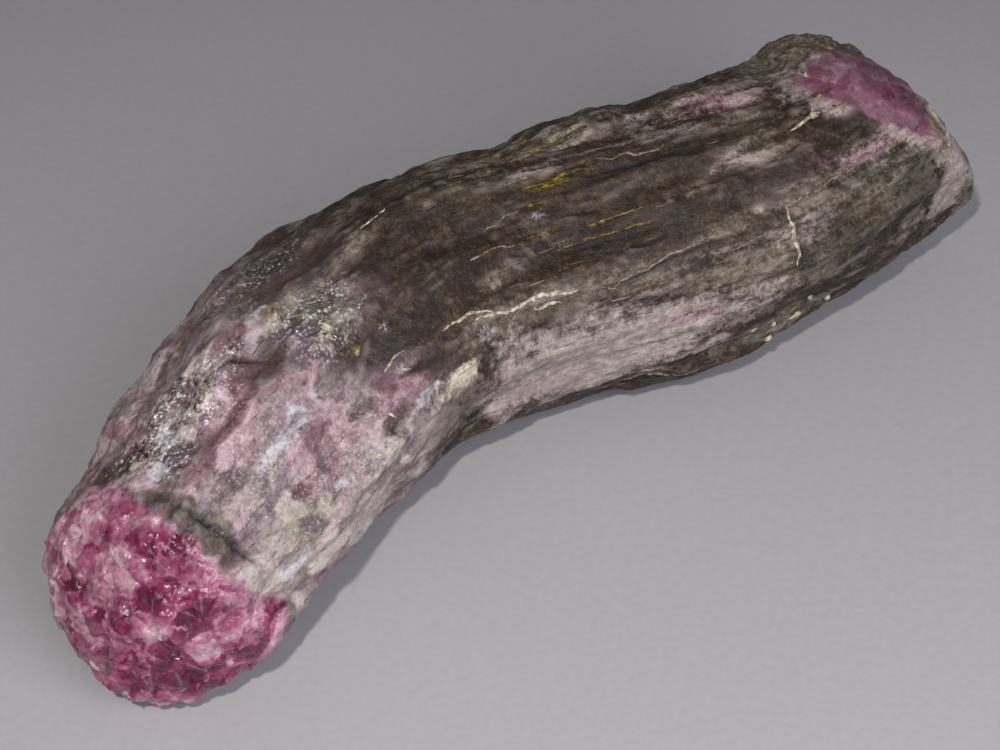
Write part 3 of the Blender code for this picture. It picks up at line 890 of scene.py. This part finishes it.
def skinColour(tree, mask, pattern, coords):
    # the minerals laid over each other, then wear, dirt and glints
    shade = {}
    for label, colours in skin["colours"].items():
        stops = tuple(zip(skin["levels"], colours))
        shade[label] = node(tree, "ValToRGB", {"stops": stops}, Fac=pattern["grain"])
    rosy = node(tree, "MapRange", eased, Value=mask["grainHue"], From_Min=0.45, From_Max=0.85, To_Max=0.7)
    base = shade["nearArm"]
    layers = [(rosy, shade["rose"]), (mask["longArm"], shade["longArm"])]
    for label, reach, soft, ragged, strength in skin["layers"]:
        # the mineral's mask, with a border that the fine patterns break up
        place = node(tree, "Attribute", {"attribute_name": label}, "Fac")
        gate = node(tree, "Math", held, i0=place, i1=3.0)
        stray = node(tree, "Math", times, i0=pattern["wander"], i1=gate)
        edge = blend(tree, ((stray, ragged), (place, reach)))
        shown = node(tree, "MapRange", eased, Value=edge, From_Min=0.5 - soft, From_Max=0.5 + soft,
                     To_Max=strength)
        layers.append((shown, shade[label]))
    # gold only shows as threads between the striae
    thread = node(tree, "MapRange", eased, Value=pattern["streakFine"], From_Min=0.49, From_Max=0.58)
    layers.append((node(tree, "Math", held, i0=thread, i1=mask["gold"]), shade["gold"]))
    # raised parts are painted paler, a painted highlight, and hollows painted darker, a painted shade; pale
    # and sooty specks lie all over
    flecks = node(tree, "MapRange", Value=mask["longArm"], To_Min=0.14, To_Max=0.06)
    palest, darkest = skin["colours"]["pale"][2], skin["colours"]["dark"][0]
    for value, none, whole, most, colour in (
            (mask["height"], 0.58, 0.95, 0.20, palest), (mask["height"], 0.42, 0.08, 0.28, darkest),
            (pattern["speck"], 0.58, 0.70, flecks, palest), (pattern["speck"], 0.42, 0.32, 0.18, darkest)):
        shown = node(tree, "MapRange", eased, Value=value, From_Min=none, From_Max=whole, To_Max=most)
        layers.append((shown, colour))
    # painted glints: white specks of about 0.3 mm on the mica, a painted highlight in the colour that shows
    # whatever the lights
    paintedGlint = node(tree, "TexVoronoi", {"distance": "CHEBYCHEV"}, "Color", Vector=coords,
                 Scale=skin["plates"]["paintedGlints"])
    paintedGlint = node(tree, "SeparateColor", None, 0, Color=paintedGlint)
    paintedGlint = blend(tree, ((paintedGlint, 1.0), (pattern["mottle"], 0.5)), -0.25)
    paintedGlint = node(tree, "MapRange", eased, Value=paintedGlint, From_Min=0.80, From_Max=0.94)
    layers.append((node(tree, "Math", held, i0=paintedGlint, i1=mask["mica"]), skin["paintedGlint"]))
    # cracks and pits are painted near black: a painted shade in them
    layers.append((node(tree, "Math", times, i0=mask["crack"], i1=0.85), skin["crackShade"]))
    for shown, colour in layers:
        base = node(tree, "Mix", mixed, 2, i0=shown, i6=base, i7=colour)
    return base


def skinMaterial(name, broken):
    # Altered tourmaline skin, grown and weathered: dull, striated, with mica and clay in it,
    # so it scatters light softly and only its small plates and the clear spots shine.
    # The broken face is clear pink elbaite, so its facets are glassy and let some light in.
    material, tree, shader = newMaterial(name)
    names = ("longArm", "height", "crack", "break", "mica", "gold", "glass", "farEnd", "tone", "grainHue")
    mask = {key: node(tree, "Attribute", {"attribute_name": key}, "Fac") for key in names}
    coords = node(tree, "TexCoord", None, "Object")
    pattern = skinPatterns(tree, mask)
    blotch, mottle, speck = (pattern[label] for label in ("blotch", "mottle", "speck"))

    # the pink inside starts where the crystal is broken across
    frayed = blend(tree, ((mottle, 1.2), (speck, 0.6), (blotch, 1.0)), -1.4)
    edge = blend(tree, ((frayed, 0.9), (mask["break"], 1.0)))
    onBreak = node(tree, "MapRange", eased, Value=edge, From_Min=0.25, From_Max=0.75)
    base = node(tree, "Mix", mixed, 2, i0=onBreak, i6=skinColour(tree, mask, pattern, coords),
                i7=pinkColour(tree, mottle, mask["farEnd"], mask["tone"]))

    shine = blend(tree, ((mask["mica"], 0.6), (mask["glass"], 1.0), (mask["gold"], 0.5),
                         (mask["longArm"], -0.2)), 0.2)
    wet = node(tree, "Math", times, i0=onBreak, i1=blend(tree, ((mask["farEnd"], -0.5),), 0.88))
    shine = node(tree, "Math", larger, i0=shine, i1=wet)
    rough = node(tree, "MapRange", Value=shine, To_Min=0.56, To_Max=0.02)
    rough = node(tree, "Math", {"operation": "MULTIPLY_ADD", "use_clamp": True}, i0=mottle, i1=0.3, i2=rough)
    rough = node(tree, "Math", less, i0=rough, i1=0.06)
    gloss = 0.36 if broken else 0.34
    feed(tree, shader, Base_Color=base, Roughness=rough, IOR=1.64, Specular_IOR_Level=gloss)
    if broken:
        letLightIn(tree, shader, 0.2)

    facing = node(tree, "NewGeometry", None, "Normal")
    small = blend(tree, ((mask["mica"], 1.2), (onBreak, 0.15), (mask["longArm"], -0.14)), 0.30)
    large = node(tree, "Math", times, i0=onBreak, i1=0.55)
    for scale, amount in ((skin["plates"]["small"], small), (skin["plates"]["large"], large)):
        own = node(tree, "TexVoronoi", None, "Color", Vector=coords, Scale=scale)
        tilt = node(tree, "VectorMath", less, i0=own, i1=(0.5, 0.5, 0.5))
        tilt = node(tree, "VectorMath", sized, i0=tilt, Scale=amount)
        facing = node(tree, "VectorMath", plus, i0=facing, i1=tilt)
    facing = node(tree, "VectorMath", {"operation": "NORMALIZE"}, i0=facing)
    height = blend(tree, ((speck, 0.5), (mottle, 0.5), (blotch, 0.5)))
    strength = 0.35 if broken else 0.6
    bumped = node(tree, "Bump", Height=height, Strength=strength, Distance=0.45 * mm, Normal=facing)
    feed(tree, shader, Normal=bumped)
    return material


pink = {
    "stops": ((0.20, "#5b1a35"), (0.36, "#812f53"), (0.52, "#99566f"), (0.70, "#b38394"), (0.92, "#cfb5bd")),
    "farStops": ((0.25, "#6a3b4c"), (0.50, "#7c5161"), (0.80, "#8f727b")),
    "grain": 350.0,  # grains of 2.9 mm
    "frost": "#c3a0ad",
}


def pinkColour(tree, mottle, farEnd, tone):
    # elbaite grains, each with its own depth of pink, frosted where they meet
    coords = node(tree, "TexCoord", None, "Object")
    twist = node(tree, "TexNoise", None, "Color", Vector=coords, Scale=800.0, Detail=3.0)
    bent = node(tree, "VectorMath", {"operation": "MULTIPLY_ADD"}, i0=twist, i1=(0.0012,) * 3, i2=coords)
    own = []
    for scale in (pink["grain"], pink["grain"] * 2.6):
        colour = node(tree, "TexVoronoi", None, "Color", Vector=bent, Scale=scale)
        own.append(node(tree, "SeparateColor", None, 0, Color=colour))
    fine = node(tree, "TexNoise", Vector=bent, Scale=1900.0, Detail=3.0, Roughness=0.6)
    names = ("deep", "frost")
    deep, frost = (node(tree, "Attribute", {"attribute_name": key}, "Fac") for key in names)
    level = blend(tree, ((own[0], 0.30), (own[1], 0.14), (tone, 0.42), (mottle, 0.14), (fine, 0.26),
                         (deep, -0.20), (frost, 0.18)), -0.12)
    near, far = (node(tree, "ValToRGB", {"stops": pink[key]}, Fac=level) for key in ("stops", "farStops"))
    colour = node(tree, "Mix", mixed, 2, i0=farEnd, i6=near, i7=far)
    gap = node(tree, "TexVoronoi", {"feature": "DISTANCE_TO_EDGE"}, Vector=bent, Scale=pink["grain"])
    rind = node(tree, "MapRange", eased, Value=gap, From_Min=0.10, From_Max=0.0, To_Max=0.3)
    patchy = node(tree, "MapRange", eased, Value=mottle, From_Min=0.4, From_Max=0.6)
    patchy = blend(tree, ((farEnd, -0.8), (patchy, 1.0)))
    rind = node(tree, "Math", held, i0=rind, i1=patchy)
    return node(tree, "Mix", mixed, 2, i0=rind, i6=colour, i7=pink["frost"])


body.data.materials.append(skinMaterial("altered tourmaline", False))
body.data.materials.append(skinMaterial("broken rubellite face", True))
report("body materials")


# Pieces by geometry nodes
def geometryTree(name, inputs):
    tree = bpy.data.node_groups.new(name, "GeometryNodeTree")
    for label, kind in (("Geometry", "Geometry"), *inputs):
        tree.interface.new_socket(label, in_out="INPUT", socket_type="NodeSocket" + kind)
    tree.interface.new_socket("Geometry", in_out="OUTPUT", socket_type="NodeSocketGeometry")
    return tree, node(tree, "NodeGroupInput", None, None).outputs


def finishTree(tree, geometry, material):
    real = node(tree, "GeometryNodeRealizeInstances", Geometry=geometry)
    painted = node(tree, "GeometryNodeSetMaterial", Geometry=real, Material=material)
    node(tree, "NodeGroupOutput", None, None, Geometry=painted)


def dropObject(thing):
    data = thing.data
    bpy.data.objects.remove(thing, do_unlink=True)
    bpy.data.batch_remove([data])


def bake(name, source, tree, values, smooth=False):
    # evaluates a tree on a fresh source object, keeps the result as a plain mesh and drops the source
    bpy.context.scene.collection.objects.link(source)
    modifier = source.modifiers.new(name, "NODES")
    modifier.node_group = tree
    for item in tree.interface.items_tree:
        if item.in_out == "INPUT" and item.name in values:
            modifier[item.identifier] = values[item.name]
    graph = bpy.context.evaluated_depsgraph_get()
    seen = source.evaluated_get(graph)
    mesh = bpy.data.meshes.new_from_object(seen, preserve_all_data_layers=True, depsgraph=graph)
    source.modifiers.remove(modifier)
    dropObject(source)
    mesh.name = name
    made = newObject(name, mesh)
    mesh.polygons.foreach_set("use_smooth", [smooth] * len(mesh.polygons))
    coords = np.empty(len(mesh.vertices) * 3)
    mesh.vertices.foreach_get("co", coords)
    low, high = (np.array(corner) for corner in cadBox)
    coords = np.clip(coords.reshape(-1, 3), low + 1e-5, high - 1e-5)
    mesh.vertices.foreach_set("co", coords.astype(np.float32).ravel())
    mesh.update()
    report(f"{name}: {sum(len(p.vertices) - 2 for p in mesh.polygons)} triangles")
    return made


def hullObject(name, seed, count, stretch):
    # an angular fragment: the convex hull of points on an uneven ball
    rng = np.random.default_rng(seed)
    spots = rng.normal(size=(count, 3))
    spots = spots / np.linalg.norm(spots, axis=1, keepdims=True) * np.array(stretch)
    bm = bmesh.new()
    for p in spots:
        bm.verts.new(p * 0.5)
    bmesh.ops.convex_hull(bm, input=bm.verts)
    bmesh.ops.delete(bm, geom=[v for v in bm.verts if not v.link_faces], context="VERTS")
    bmesh.ops.recalc_face_normals(bm, faces=bm.faces)
    mesh = bpy.data.meshes.new(name)
    bm.to_mesh(mesh)
    bm.free()
    return bpy.data.objects.new(name, mesh)


def fragmentCollection(name, settings):
    made = bpy.data.collections.new(name)
    for seed in settings["shapes"]:
        made.objects.link(hullObject(f"{name}_{seed}", seed, settings["corners"], settings["stretch"]))
    return made


def clearCollection(collection):
    for thing in list(collection.objects):
        dropObject(thing)
    bpy.data.collections.remove(collection)


def scatterTree(name, material):
    # fragments over a surface, where a mask allows, lying along a given direction
    tree, inputs = geometryTree(name, (
        ("Fragments", "Collection"), ("Density", "Float"), ("Smallest", "Float"), ("Largest", "Float"),
        ("Length", "Float"), ("Height", "Float"), ("Turn", "Float"), ("Sink", "Float"), ("Seed", "Int")))
    mask = node(tree, "GeometryNodeInputNamedAttribute", {"data_type": "FLOAT"}, Name="scatter")
    density = node(tree, "Math", times, i0=mask, i1=inputs["Density"])
    spots = node(tree, "GeometryNodeDistributePointsOnFaces", {"distribute_method": "RANDOM"}, None,
                 Mesh=inputs["Geometry"], Density=density, Seed=inputs["Seed"]).outputs
    tangent = node(tree, "GeometryNodeInputNamedAttribute", {"data_type": "FLOAT_VECTOR"}, Name="tangent")
    upright = node(tree, "FunctionNodeAlignRotationToVector", {"axis": "Z"}, Vector=spots["Normal"])
    lengthwise = {"axis": "X", "pivot_axis": "Z"}
    lying = node(tree, "FunctionNodeAlignRotationToVector", lengthwise, Rotation=upright, Vector=tangent)
    # random lean of each fragment
    least = node(tree, "Math", times, i0=inputs["Turn"], i1=-1.0)
    turns = [node(tree, "CombineXYZ", X=most, Y=most, Z=most) for most in (least, inputs["Turn"])]
    lean = node(tree, "FunctionNodeRandomValue", {"data_type": "FLOAT_VECTOR"}, i0=turns[0], i1=turns[1],
                Seed=inputs["Seed"])
    turned = node(tree, "FunctionNodeRotateRotation", {"rotation_space": "LOCAL"}, Rotation=lying,
                  Rotate_By=lean)
    size = node(tree, "FunctionNodeRandomValue", {"data_type": "FLOAT"}, 1, i2=inputs["Smallest"],
                i3=inputs["Largest"], Seed=inputs["Seed"])
    stretch = node(tree, "CombineXYZ", X=inputs["Length"], Y=1.0, Z=inputs["Height"])
    scale = node(tree, "VectorMath", sized, i0=stretch, Scale=size)
    shapes = node(tree, "GeometryNodeCollectionInfo", Collection=inputs["Fragments"], Separate_Children=True,
                  Reset_Children=True)
    placed = node(tree, "GeometryNodeInstanceOnPoints", Points=spots["Points"], Instance=shapes,
                  Pick_Instance=True, Rotation=turned, Scale=scale)
    down = node(tree, "Math", times, i0=size, i1=inputs["Sink"])
    offset = node(tree, "CombineXYZ", Z=down)
    moved = node(tree, "GeometryNodeTranslateInstances", Instances=placed, Translation=offset)
    tone = node(tree, "FunctionNodeRandomValue", {"data_type": "FLOAT"}, 1, i2=0.0, i3=1.0, Seed=7)
    toned = node(tree, "GeometryNodeStoreNamedAttribute", {"data_type": "FLOAT", "domain": "INSTANCE"},
                 Geometry=moved, Name="chipTone", Value=tone)
    finishTree(tree, toned, material)
    return tree


def scatter(name, mask, settings, material, smooth=False):
    # the carrier is a copy of the body's mesh, so the body itself isn't touched
    carrier = bpy.data.objects.new(name + "_carrier", body.data.copy())
    storeFloat(carrier.data, "scatter", mask)
    fragments = fragmentCollection(name + "_shapes", settings)
    values = {label: settings[label.lower()] for label in ("Length", "Height", "Sink", "Seed")}
    values.update({"Fragments": fragments, "Density": settings["density"] / mm ** 2,
                   "Smallest": settings["smallest"] * mm, "Largest": settings["largest"] * mm,
                   "Turn": math.radians(settings["turn"])})
    made = bake(name, carrier, scatterTree(name, material), values, smooth)
    clearCollection(fragments)
    return made


# Pink fragments; sizes in mm, density in pieces per mm2, turn in degrees, sink as a share of the size
chips = {
    "shapes": (3, 8, 14, 21, 35), "corners": 16, "stretch": (1.0, 0.85, 0.7), "density": 0.05,
    "smallest": 1.2, "largest": 2.6, "length": 1.1, "height": 0.6, "turn": 26.0, "sink": -0.36, "seed": 11,
}


def chipMaterial():
    # Rubellite, pink tourmaline, crushed at the break: glassy facets with some depth to them.
    material, tree, shader = newMaterial("broken rubellite")
    coords = node(tree, "TexCoord", None, "Object")
    names = ("chipTone", "deep", "frost")
    tone, deep, frost = (node(tree, "Attribute", {"attribute_name": key}, "Fac") for key in names)
    mottle = node(tree, "TexNoise", Vector=coords, Scale=1100.0, Detail=4.0, Roughness=0.65,
                  Distortion=0.5)
    level = blend(tree, ((tone, 0.34), (mottle, 0.75), (deep, -0.20), (frost, 0.17)))
    colour = node(tree, "ValToRGB", {"stops": pink["stops"]}, Fac=level)
    rough = node(tree, "MapRange", Value=mottle, From_Min=0.35, From_Max=0.65, To_Min=0.12, To_Max=0.45)
    bumped = node(tree, "Bump", Height=mottle, Strength=0.5, Distance=0.3 * mm)
    feed(tree, shader, Base_Color=colour, Roughness=rough, IOR=1.64, Specular_IOR_Level=0.25, Normal=bumped)
    letLightIn(tree, shader, 0.25)
    return material


chipMask = np.where((form["end"] == -1) & (form["share"] < 0.84), 1.0, 0.0)
pinkGrains = scatter("pink_grains", chipMask, chips, chipMaterial())


# Mica flakes
flakes = {
    "shapes": (2, 5, 9), "corners": 9, "stretch": (1.0, 0.9, 0.12), "density": 1.0, "smallest": 0.25,
    "largest": 0.65, "length": 1.2, "height": 0.8, "turn": 46.0, "sink": 0.0, "seed": 5,
    "stops": ((0.0, "#75686b"), (0.45, "#968a8d"), (0.8, "#b3a8ac"), (1.0, "#d6ced4")),
}


def flakeMaterial():
    # Muscovite and lepidolite flakes, cleaved: pearly plates that flash where they face a light.
    material, tree, shader = newMaterial("cleaved mica")
    tone = node(tree, "Attribute", {"attribute_name": "chipTone"}, "Fac")
    colour = node(tree, "ValToRGB", {"stops": flakes["stops"]}, Fac=tone)
    rough = node(tree, "MapRange", Value=tone, To_Min=0.26, To_Max=0.10)
    feed(tree, shader, Base_Color=colour, Roughness=rough, IOR=1.58, Coat_Weight=0.6, Coat_Roughness=0.08)
    return material


micaMask = np.clip(masks["mica"], 0, 1) * (1 - masks["break"])
micaFlakes = scatter("mica_flakes", micaMask, flakes, flakeMaterial())


# Splinters of the skin
splinters = {
    "shapes": (4, 6, 12, 17), "corners": 12, "stretch": (1.0, 0.10, 0.07), "density": 0.06, "smallest": 0.8,
    "largest": 2.4, "length": 2.0, "height": 0.8, "turn": 5.0, "sink": -0.02, "seed": 23,
    "stops": ((0.0, "#3a3026"), (0.40, "#5b4f45"), (0.72, "#7d7168"), (1.0, "#a2978a")),
}


def splinterMaterial():
    # Splintered striae of the prism, weathered: thin slivers from pale fibre to dark schorl.
    material, tree, shader = newMaterial("splintered striae")
    coords = node(tree, "TexCoord", None, "Object")
    names = ("chipTone", "pale", "dark")
    tone, pale, dark = (node(tree, "Attribute", {"attribute_name": key}, "Fac") for key in names)
    mottle = node(tree, "TexNoise", Vector=coords, Scale=1600.0, Detail=3.0, Roughness=0.6)
    level = blend(tree, ((tone, 0.8), (mottle, 0.6), (pale, 0.3), (dark, -0.25)), -0.2)
    colour = node(tree, "ValToRGB", {"stops": splinters["stops"]}, Fac=level)
    feed(tree, shader, Base_Color=colour, Roughness=0.5, IOR=1.64)
    return material


# none under the crystal, on the breaks or close to the far rim
splinterMask = 0.25 + 0.75 * masks["longArm"] + 0.8 * masks["pale"]
splinterMask *= (1 - masks["break"]) * (1 - 0.5 * masks["dark"]) * (form["end"] == 0)
splinterMask *= np.abs(degreesFrom(form["degrees"], skinRelief["underside"][0])) >= 26
splinterMask *= 1 - smoothStep(-6, -4, form["along"] - farEnd(form["angle"], 1.0)[0])
skinSplinters = scatter("skin_splinters", splinterMask, splinters, splinterMaterial(), smooth=True)


# Veins and threads
veins = {
    "step": 0.3,  # mm between points along a vein
    "wander": {"cream": 0.30, "tan": 0.26, "gold": 0.08},  # mm, how far a vein strays from its path
    "roughness": 0.26,  # mm, lumps on its skin
    "lift": -0.15,  # how far its middle lies over the skin, as a share of its radius
    "width": {"cream": 0.66, "tan": 0.60, "gold": 0.62},  # share of the radius given below
    # path of (along, around), radius in mm
    "cream": (
        (((59.6, 51), (62, 50.8), (64, 51), (67.5, 52.5), (70.8, 56)), 0.34),
        (((66.5, 54), (70.8, 56.4), (74, 57.4), (77, 58), (80.5, 58)), 0.42),
        (((77.5, 57), (80.5, 56.4), (83.5, 57.2), (86.8, 60)), 0.46),
        (((78.5, 60.2), (81, 60.8), (83.2, 61.0), (84.2, 62)), 0.28),
        (((67.2, 54), (67.4, 57), (67.2, 60.5)), 0.34),
        (((117.4, 52), (117.0, 56), (117.4, 62), (117.5, 67), (117.6, 73), (117.4, 79)), 0.40),
        (((117.5, 81), (117.6, 86)), 0.34),
        (((122.6, 23.6), (124.6, 22.4), (126.6, 20.6), (127.6, 17.6)), 0.38),
        (((42.6, 56), (43.6, 60.5)), 0.26),
        (((47.0, 47.2), (49.4, 46.6), (52.0, 46.2)), 0.26),
        (((33.8, 63), (36, 65.4), (39.6, 67.6), (43.4, 69.8)), 0.16),
        (((49.0, 50.5), (51.4, 54)), 0.22),
        (((62.0, -2.8), (64.0, -2.2), (66.6, -2.0)), 0.22),
        (((20.6, -20), (21.6, -22.4)), 0.5), (((21.8, -15), (22.8, -17)), 0.42),
        (((20.2, 36.5), (21.8, 38.5), (23.2, 40)), 0.14),
        (((112.0, 107.6), (112.8, 109)), 0.95), (((115.2, 120.5), (115.9, 121.5)), 0.7),
        (((115.6, 112), (116.4, 113)), 0.7),
        (((121.4, 108.6), (122.4, 109.4)), 0.95), (((124.8, 116), (125.6, 117)), 0.75),
        (((118.6, 115.4), (121.0, 115)), 0.4),
    ),
    "tan": (
        (((88.5, 61.4), (91.4, 62.2), (94.5, 60.5), (97.2, 59), (99, 57), (101.4, 55.8), (103.8, 55),
          (107, 54.5)), 0.30),
        (((131.8, 57.6), (131.2, 62), (132.0, 68), (134.5, 73)), 0.2),
        (((118.0, 52.4), (120.2, 51.6), (122.2, 51), (124.8, 50.4), (127.2, 50), (130.0, 47.6)), 0.32),
        (((96, 9.5), (99.6, 11.4), (103.2, 12.5), (106.0, 10.4)), 0.26),
        (((76, 25.2), (79.6, 23.2), (83, 21)), 0.24),
        (((82, 10), (86.6, 8.6), (91, 8)), 0.24),
        (((70, 34), (76, 33.4), (80, 34.6)), 0.2),
        (((104, 60.6), (109, 62), (114, 60)), 0.22),
        (((100.6, 82.4), (103.4, 84.4), (97.6, 88.4)), 0.24),
        (((94, 122), (100, 124), (105, 123)), 0.3),
        (((78, 226), (88, 230), (98, 228)), 0.3), (((60, 270), (70, 274), (82, 270)), 0.3),
        (((108, 262), (118, 266), (126, 262)), 0.3),
    ),
    "gold": (
        (((89.6, 36.4), (93.2, 35.8), (96, 35.3), (98.9, 35)), 0.20), (((91, 37.2), (94.6, 36.8)), 0.15),
        (((85.8, 41.7), (89.6, 41.2), (94.4, 41.2), (99.8, 41.4)), 0.19),
        (((88, 12.8), (90.4, 12.0), (92.8, 11.4)), 0.30),
        (((87.2, 14.4), (89.0, 13.8)), 0.26), (((84.4, 20.4), (85.4, 20.2)), 0.28),
        (((82.6, 33.6), (84.4, 33)), 0.2),
        (((43.2, 0.8), (45.6, -2.4)), 0.2), (((44.2, 21.2), (44.8, 22)), 0.32),
        (((46.6, 33.4), (48, 34.2)), 0.24),
        (((129.6, 11), (130.2, 13.8)), 0.45), (((130.2, 20), (130.6, 22)), 0.36),
        (((90, -8.4), (94, -9)), 0.24),
        (((64, 230), (70, 232)), 0.24),
    ),
}


def sidePoint(along, degrees):
    a = np.radians(np.asarray(degrees, dtype=float))
    s = np.asarray(along, dtype=float)
    return surfacePoints(s, a, np.ones(len(s)), 0)[0] - boxShift


def veinCurves(name, paths, seed, width, stray):
    # curves that follow the finished surface, as points with a radius
    data = bpy.data.curves.new(name, "CURVE")
    data.dimensions = "3D"
    places = KDTree(len(form["points"]))
    for i, p in enumerate(form["points"]):
        places.insert(p, i)
    places.balance()
    for number, (path, radius) in enumerate(paths):
        radius = radius * width
        spots = np.array(path, dtype=float)
        spots[:, 1] = spots[0, 1] + degreesFrom(spots[:, 1], spots[0, 1])
        steps = np.hypot(np.diff(spots[:, 0]), np.diff(spots[:, 1]) * degreeLength)
        lengths = np.concatenate(([0], np.cumsum(steps)))
        count = max(int(lengths[-1] / veins["step"]), 4)
        at = np.linspace(0, lengths[-1], count)
        along, around = np.interp(at, lengths, spots[:, 0]), np.interp(at, lengths, spots[:, 1])
        spots = np.stack([at / 2.6, np.full(count, seed + number * 3.7), np.zeros(count)], -1)
        around = around + perlin(spots) * stray * 2 / degreeLength
        along = along + perlin(spots + 9) * stray
        points = sidePoint(along, around)
        found = [places.find(p) for p in points]
        lift = radius * veins["lift"]
        settled = np.array([np.array(p) + form["normals"][index] * lift for p, index, _ in found])
        for _ in range(2):
            settled[1:-1] = (settled[:-2] + 2 * settled[1:-1] + settled[2:]) / 4
        run = data.splines.new("POLY")
        run.points.add(count - 1)
        run.points.foreach_set("co", np.concatenate([settled * mm, np.ones((count, 1))], 1).ravel())
        share = np.linspace(0, 1, count)
        taper = np.clip(np.sin(share * math.pi), 0, 1) ** 0.45
        spots = np.stack([at / 1.1, np.full(count, number * 5.1 + seed), np.ones(count)], -1)
        uneven = 1 + 0.75 * perlin(spots)
        run.points.foreach_set("radius", np.maximum(radius * taper * uneven, 0.05))
    return bpy.data.objects.new(name, data)


def veinTree(name, material):
    # a lumpy thread along each curve, as thick as its points say
    names = (("Sides", "Int"), ("Unit", "Float"), ("Lumps", "Float"), ("Lump size", "Float"))
    tree, inputs = geometryTree(name, names)
    circle = node(tree, "GeometryNodeCurvePrimitiveCircle", Resolution=inputs["Sides"], Radius=inputs["Unit"])
    made = node(tree, "GeometryNodeCurveToMesh", None, None, Curve=inputs["Geometry"], Profile_Curve=circle,
                Fill_Caps=True)
    feed(tree, made, Scale=node(tree, "GeometryNodeInputRadius"))
    where = node(tree, "GeometryNodeInputPosition")
    density = node(tree, "Math", {"operation": "DIVIDE"}, i0=1.0, i1=inputs["Lump size"])
    lumps = node(tree, "TexNoise", None, "Color", Vector=where, Scale=density, Detail=2.0)
    centred = node(tree, "VectorMath", less, i0=lumps, i1=(0.5, 0.5, 0.5))
    offset = node(tree, "VectorMath", sized, i0=centred, Scale=inputs["Lumps"])
    moved = node(tree, "GeometryNodeSetPosition", Geometry=made.outputs[0], Offset=offset)
    finishTree(tree, moved, material)
    return tree


veinLook = {
    "cream": (((0.40, "#857b68"), (0.50, "#b9b09a"), (0.60, "#d6d0bd")), 0.7),
    "tan": (((0.40, "#54493d"), (0.50, "#7c6f61"), (0.62, "#a09383")), 0.65),
    "gold": (((0.40, "#37301a"), (0.50, "#665416"), (0.62, "#a78c26")), 0.3),
}


def veinMaterial(kind, name):
    # Cream and tan: kaolin-like clay and altered albite, dull as chalk. Gold: iron-stained mica.
    material, tree, shader = newMaterial(name)
    stops, rough = veinLook[kind]
    coords = node(tree, "TexCoord", None, "Object")
    mottle = node(tree, "TexNoise", Vector=coords, Scale=1300.0, Detail=4.0, Roughness=0.65)
    colour = node(tree, "ValToRGB", {"stops": stops}, Fac=mottle)
    bumped = node(tree, "Bump", Height=mottle, Strength=0.6, Distance=0.3 * mm)
    feed(tree, shader, Base_Color=colour, Roughness=rough, IOR=1.56, Normal=bumped)
    return material


def veinPiece(kind, name, seed):
    curves = veinCurves(kind + "_curves", veins[kind], seed, veins["width"][kind], veins["wander"][kind])
    tree = veinTree(kind + "_veins", veinMaterial(kind, name))
    values = {"Sides": 7, "Unit": mm, "Lumps": veins["roughness"] * 2 * mm, "Lump size": 0.42 * mm}
    return bake(kind + "_veins", curves, tree, values, smooth=True)


creamVeins = veinPiece("cream", "chalky clay crust", 2.0)
tanVeins = veinPiece("tan", "altered feldspar seam", 14.0)
goldVeins = veinPiece("gold", "iron-stained mica", 31.0)


# Stage, lights and camera
stage = {
    "floorSize": 3.0, "floor": ((0.3, "#b2b1b5"), (0.7, "#b8b7bb")),
    "target": (3.18, 5.65, 0.0), "distance": 303.0, "azimuth": -41.0, "elevation": 40.0, "lens": 78.6,
    # place in mm, size in mm, power in W, colour: a softbox up left of the camera and a broad fill
    "key": ((-196, -172, 288), 14, 0.75, "#fffaf4"),
    "fill": ((-70, -340, 235), 260, 0.95, "#f6f4ff"),
    "world": ("#c9c8cf", 0.215),
}


def floorMaterial():
    # plain matt card
    material, tree, shader = newMaterial("matt card")
    coords = node(tree, "TexCoord", None, "Object")
    mottle = node(tree, "TexNoise", Vector=coords, Scale=900.0, Detail=3.0, Roughness=0.6)
    colour = node(tree, "ValToRGB", {"stops": stage["floor"]}, Fac=mottle)
    feed(tree, shader, Base_Color=colour, Roughness=0.75)
    return material


def softLight(name, place, size, power, colour):
    light = bpy.data.lights.new(name, "AREA")
    light.shape = "DISK"
    light.size = size * mm
    light.energy = power
    light.color = hexColour(colour)[:3]
    made = newObject(name, light)
    made.location = Vector(place) * mm
    made.rotation_euler = (-made.location).to_track_quat("-Z", "Y").to_euler()


def setFloor():
    half = stage["floorSize"] / 2
    corners = [(-half, -half, 0), (half, -half, 0), (half, half, 0), (-half, half, 0)]
    floor = meshObject("floor", corners, [(0, 1, 2, 3)], False)
    floor.data.materials.append(floorMaterial())


def setLights():
    softLight("key_light", *stage["key"])
    softLight("fill_light", *stage["fill"])
    world = bpy.data.worlds.new("studio")
    bpy.context.scene.world = world
    world.use_nodes = True
    background = world.node_tree.nodes["Background"]
    background.inputs["Color"].default_value = hexColour(stage["world"][0])
    background.inputs["Strength"].default_value = stage["world"][1]
    bpy.context.scene.view_settings.view_transform = "Standard"


def setCamera():
    data = bpy.data.cameras.new("camera")
    data.lens = stage["lens"]
    data.sensor_width = 36.0
    data.clip_start = 0.01
    data.clip_end = 10.0
    camera = newObject("camera", data)
    azimuth, elevation = math.radians(stage["azimuth"]), math.radians(stage["elevation"])
    level = math.cos(elevation)
    back = Vector((math.sin(azimuth) * level, -math.cos(azimuth) * level, math.sin(elevation)))
    camera.location = (Vector(stage["target"]) + back * stage["distance"]) * mm
    camera.rotation_euler = (-back).to_track_quat("-Z", "Y").to_euler()
    bpy.context.scene.camera = camera


setFloor()
setLights()
setCamera()
report("stage, lights and camera")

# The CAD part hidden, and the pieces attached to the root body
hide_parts("tourmaline_crystal")
for piece in (body, pinkGrains, micaFlakes, skinSplinters, creamVeins, tanVeins, goldVeins):
    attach(piece, "root")
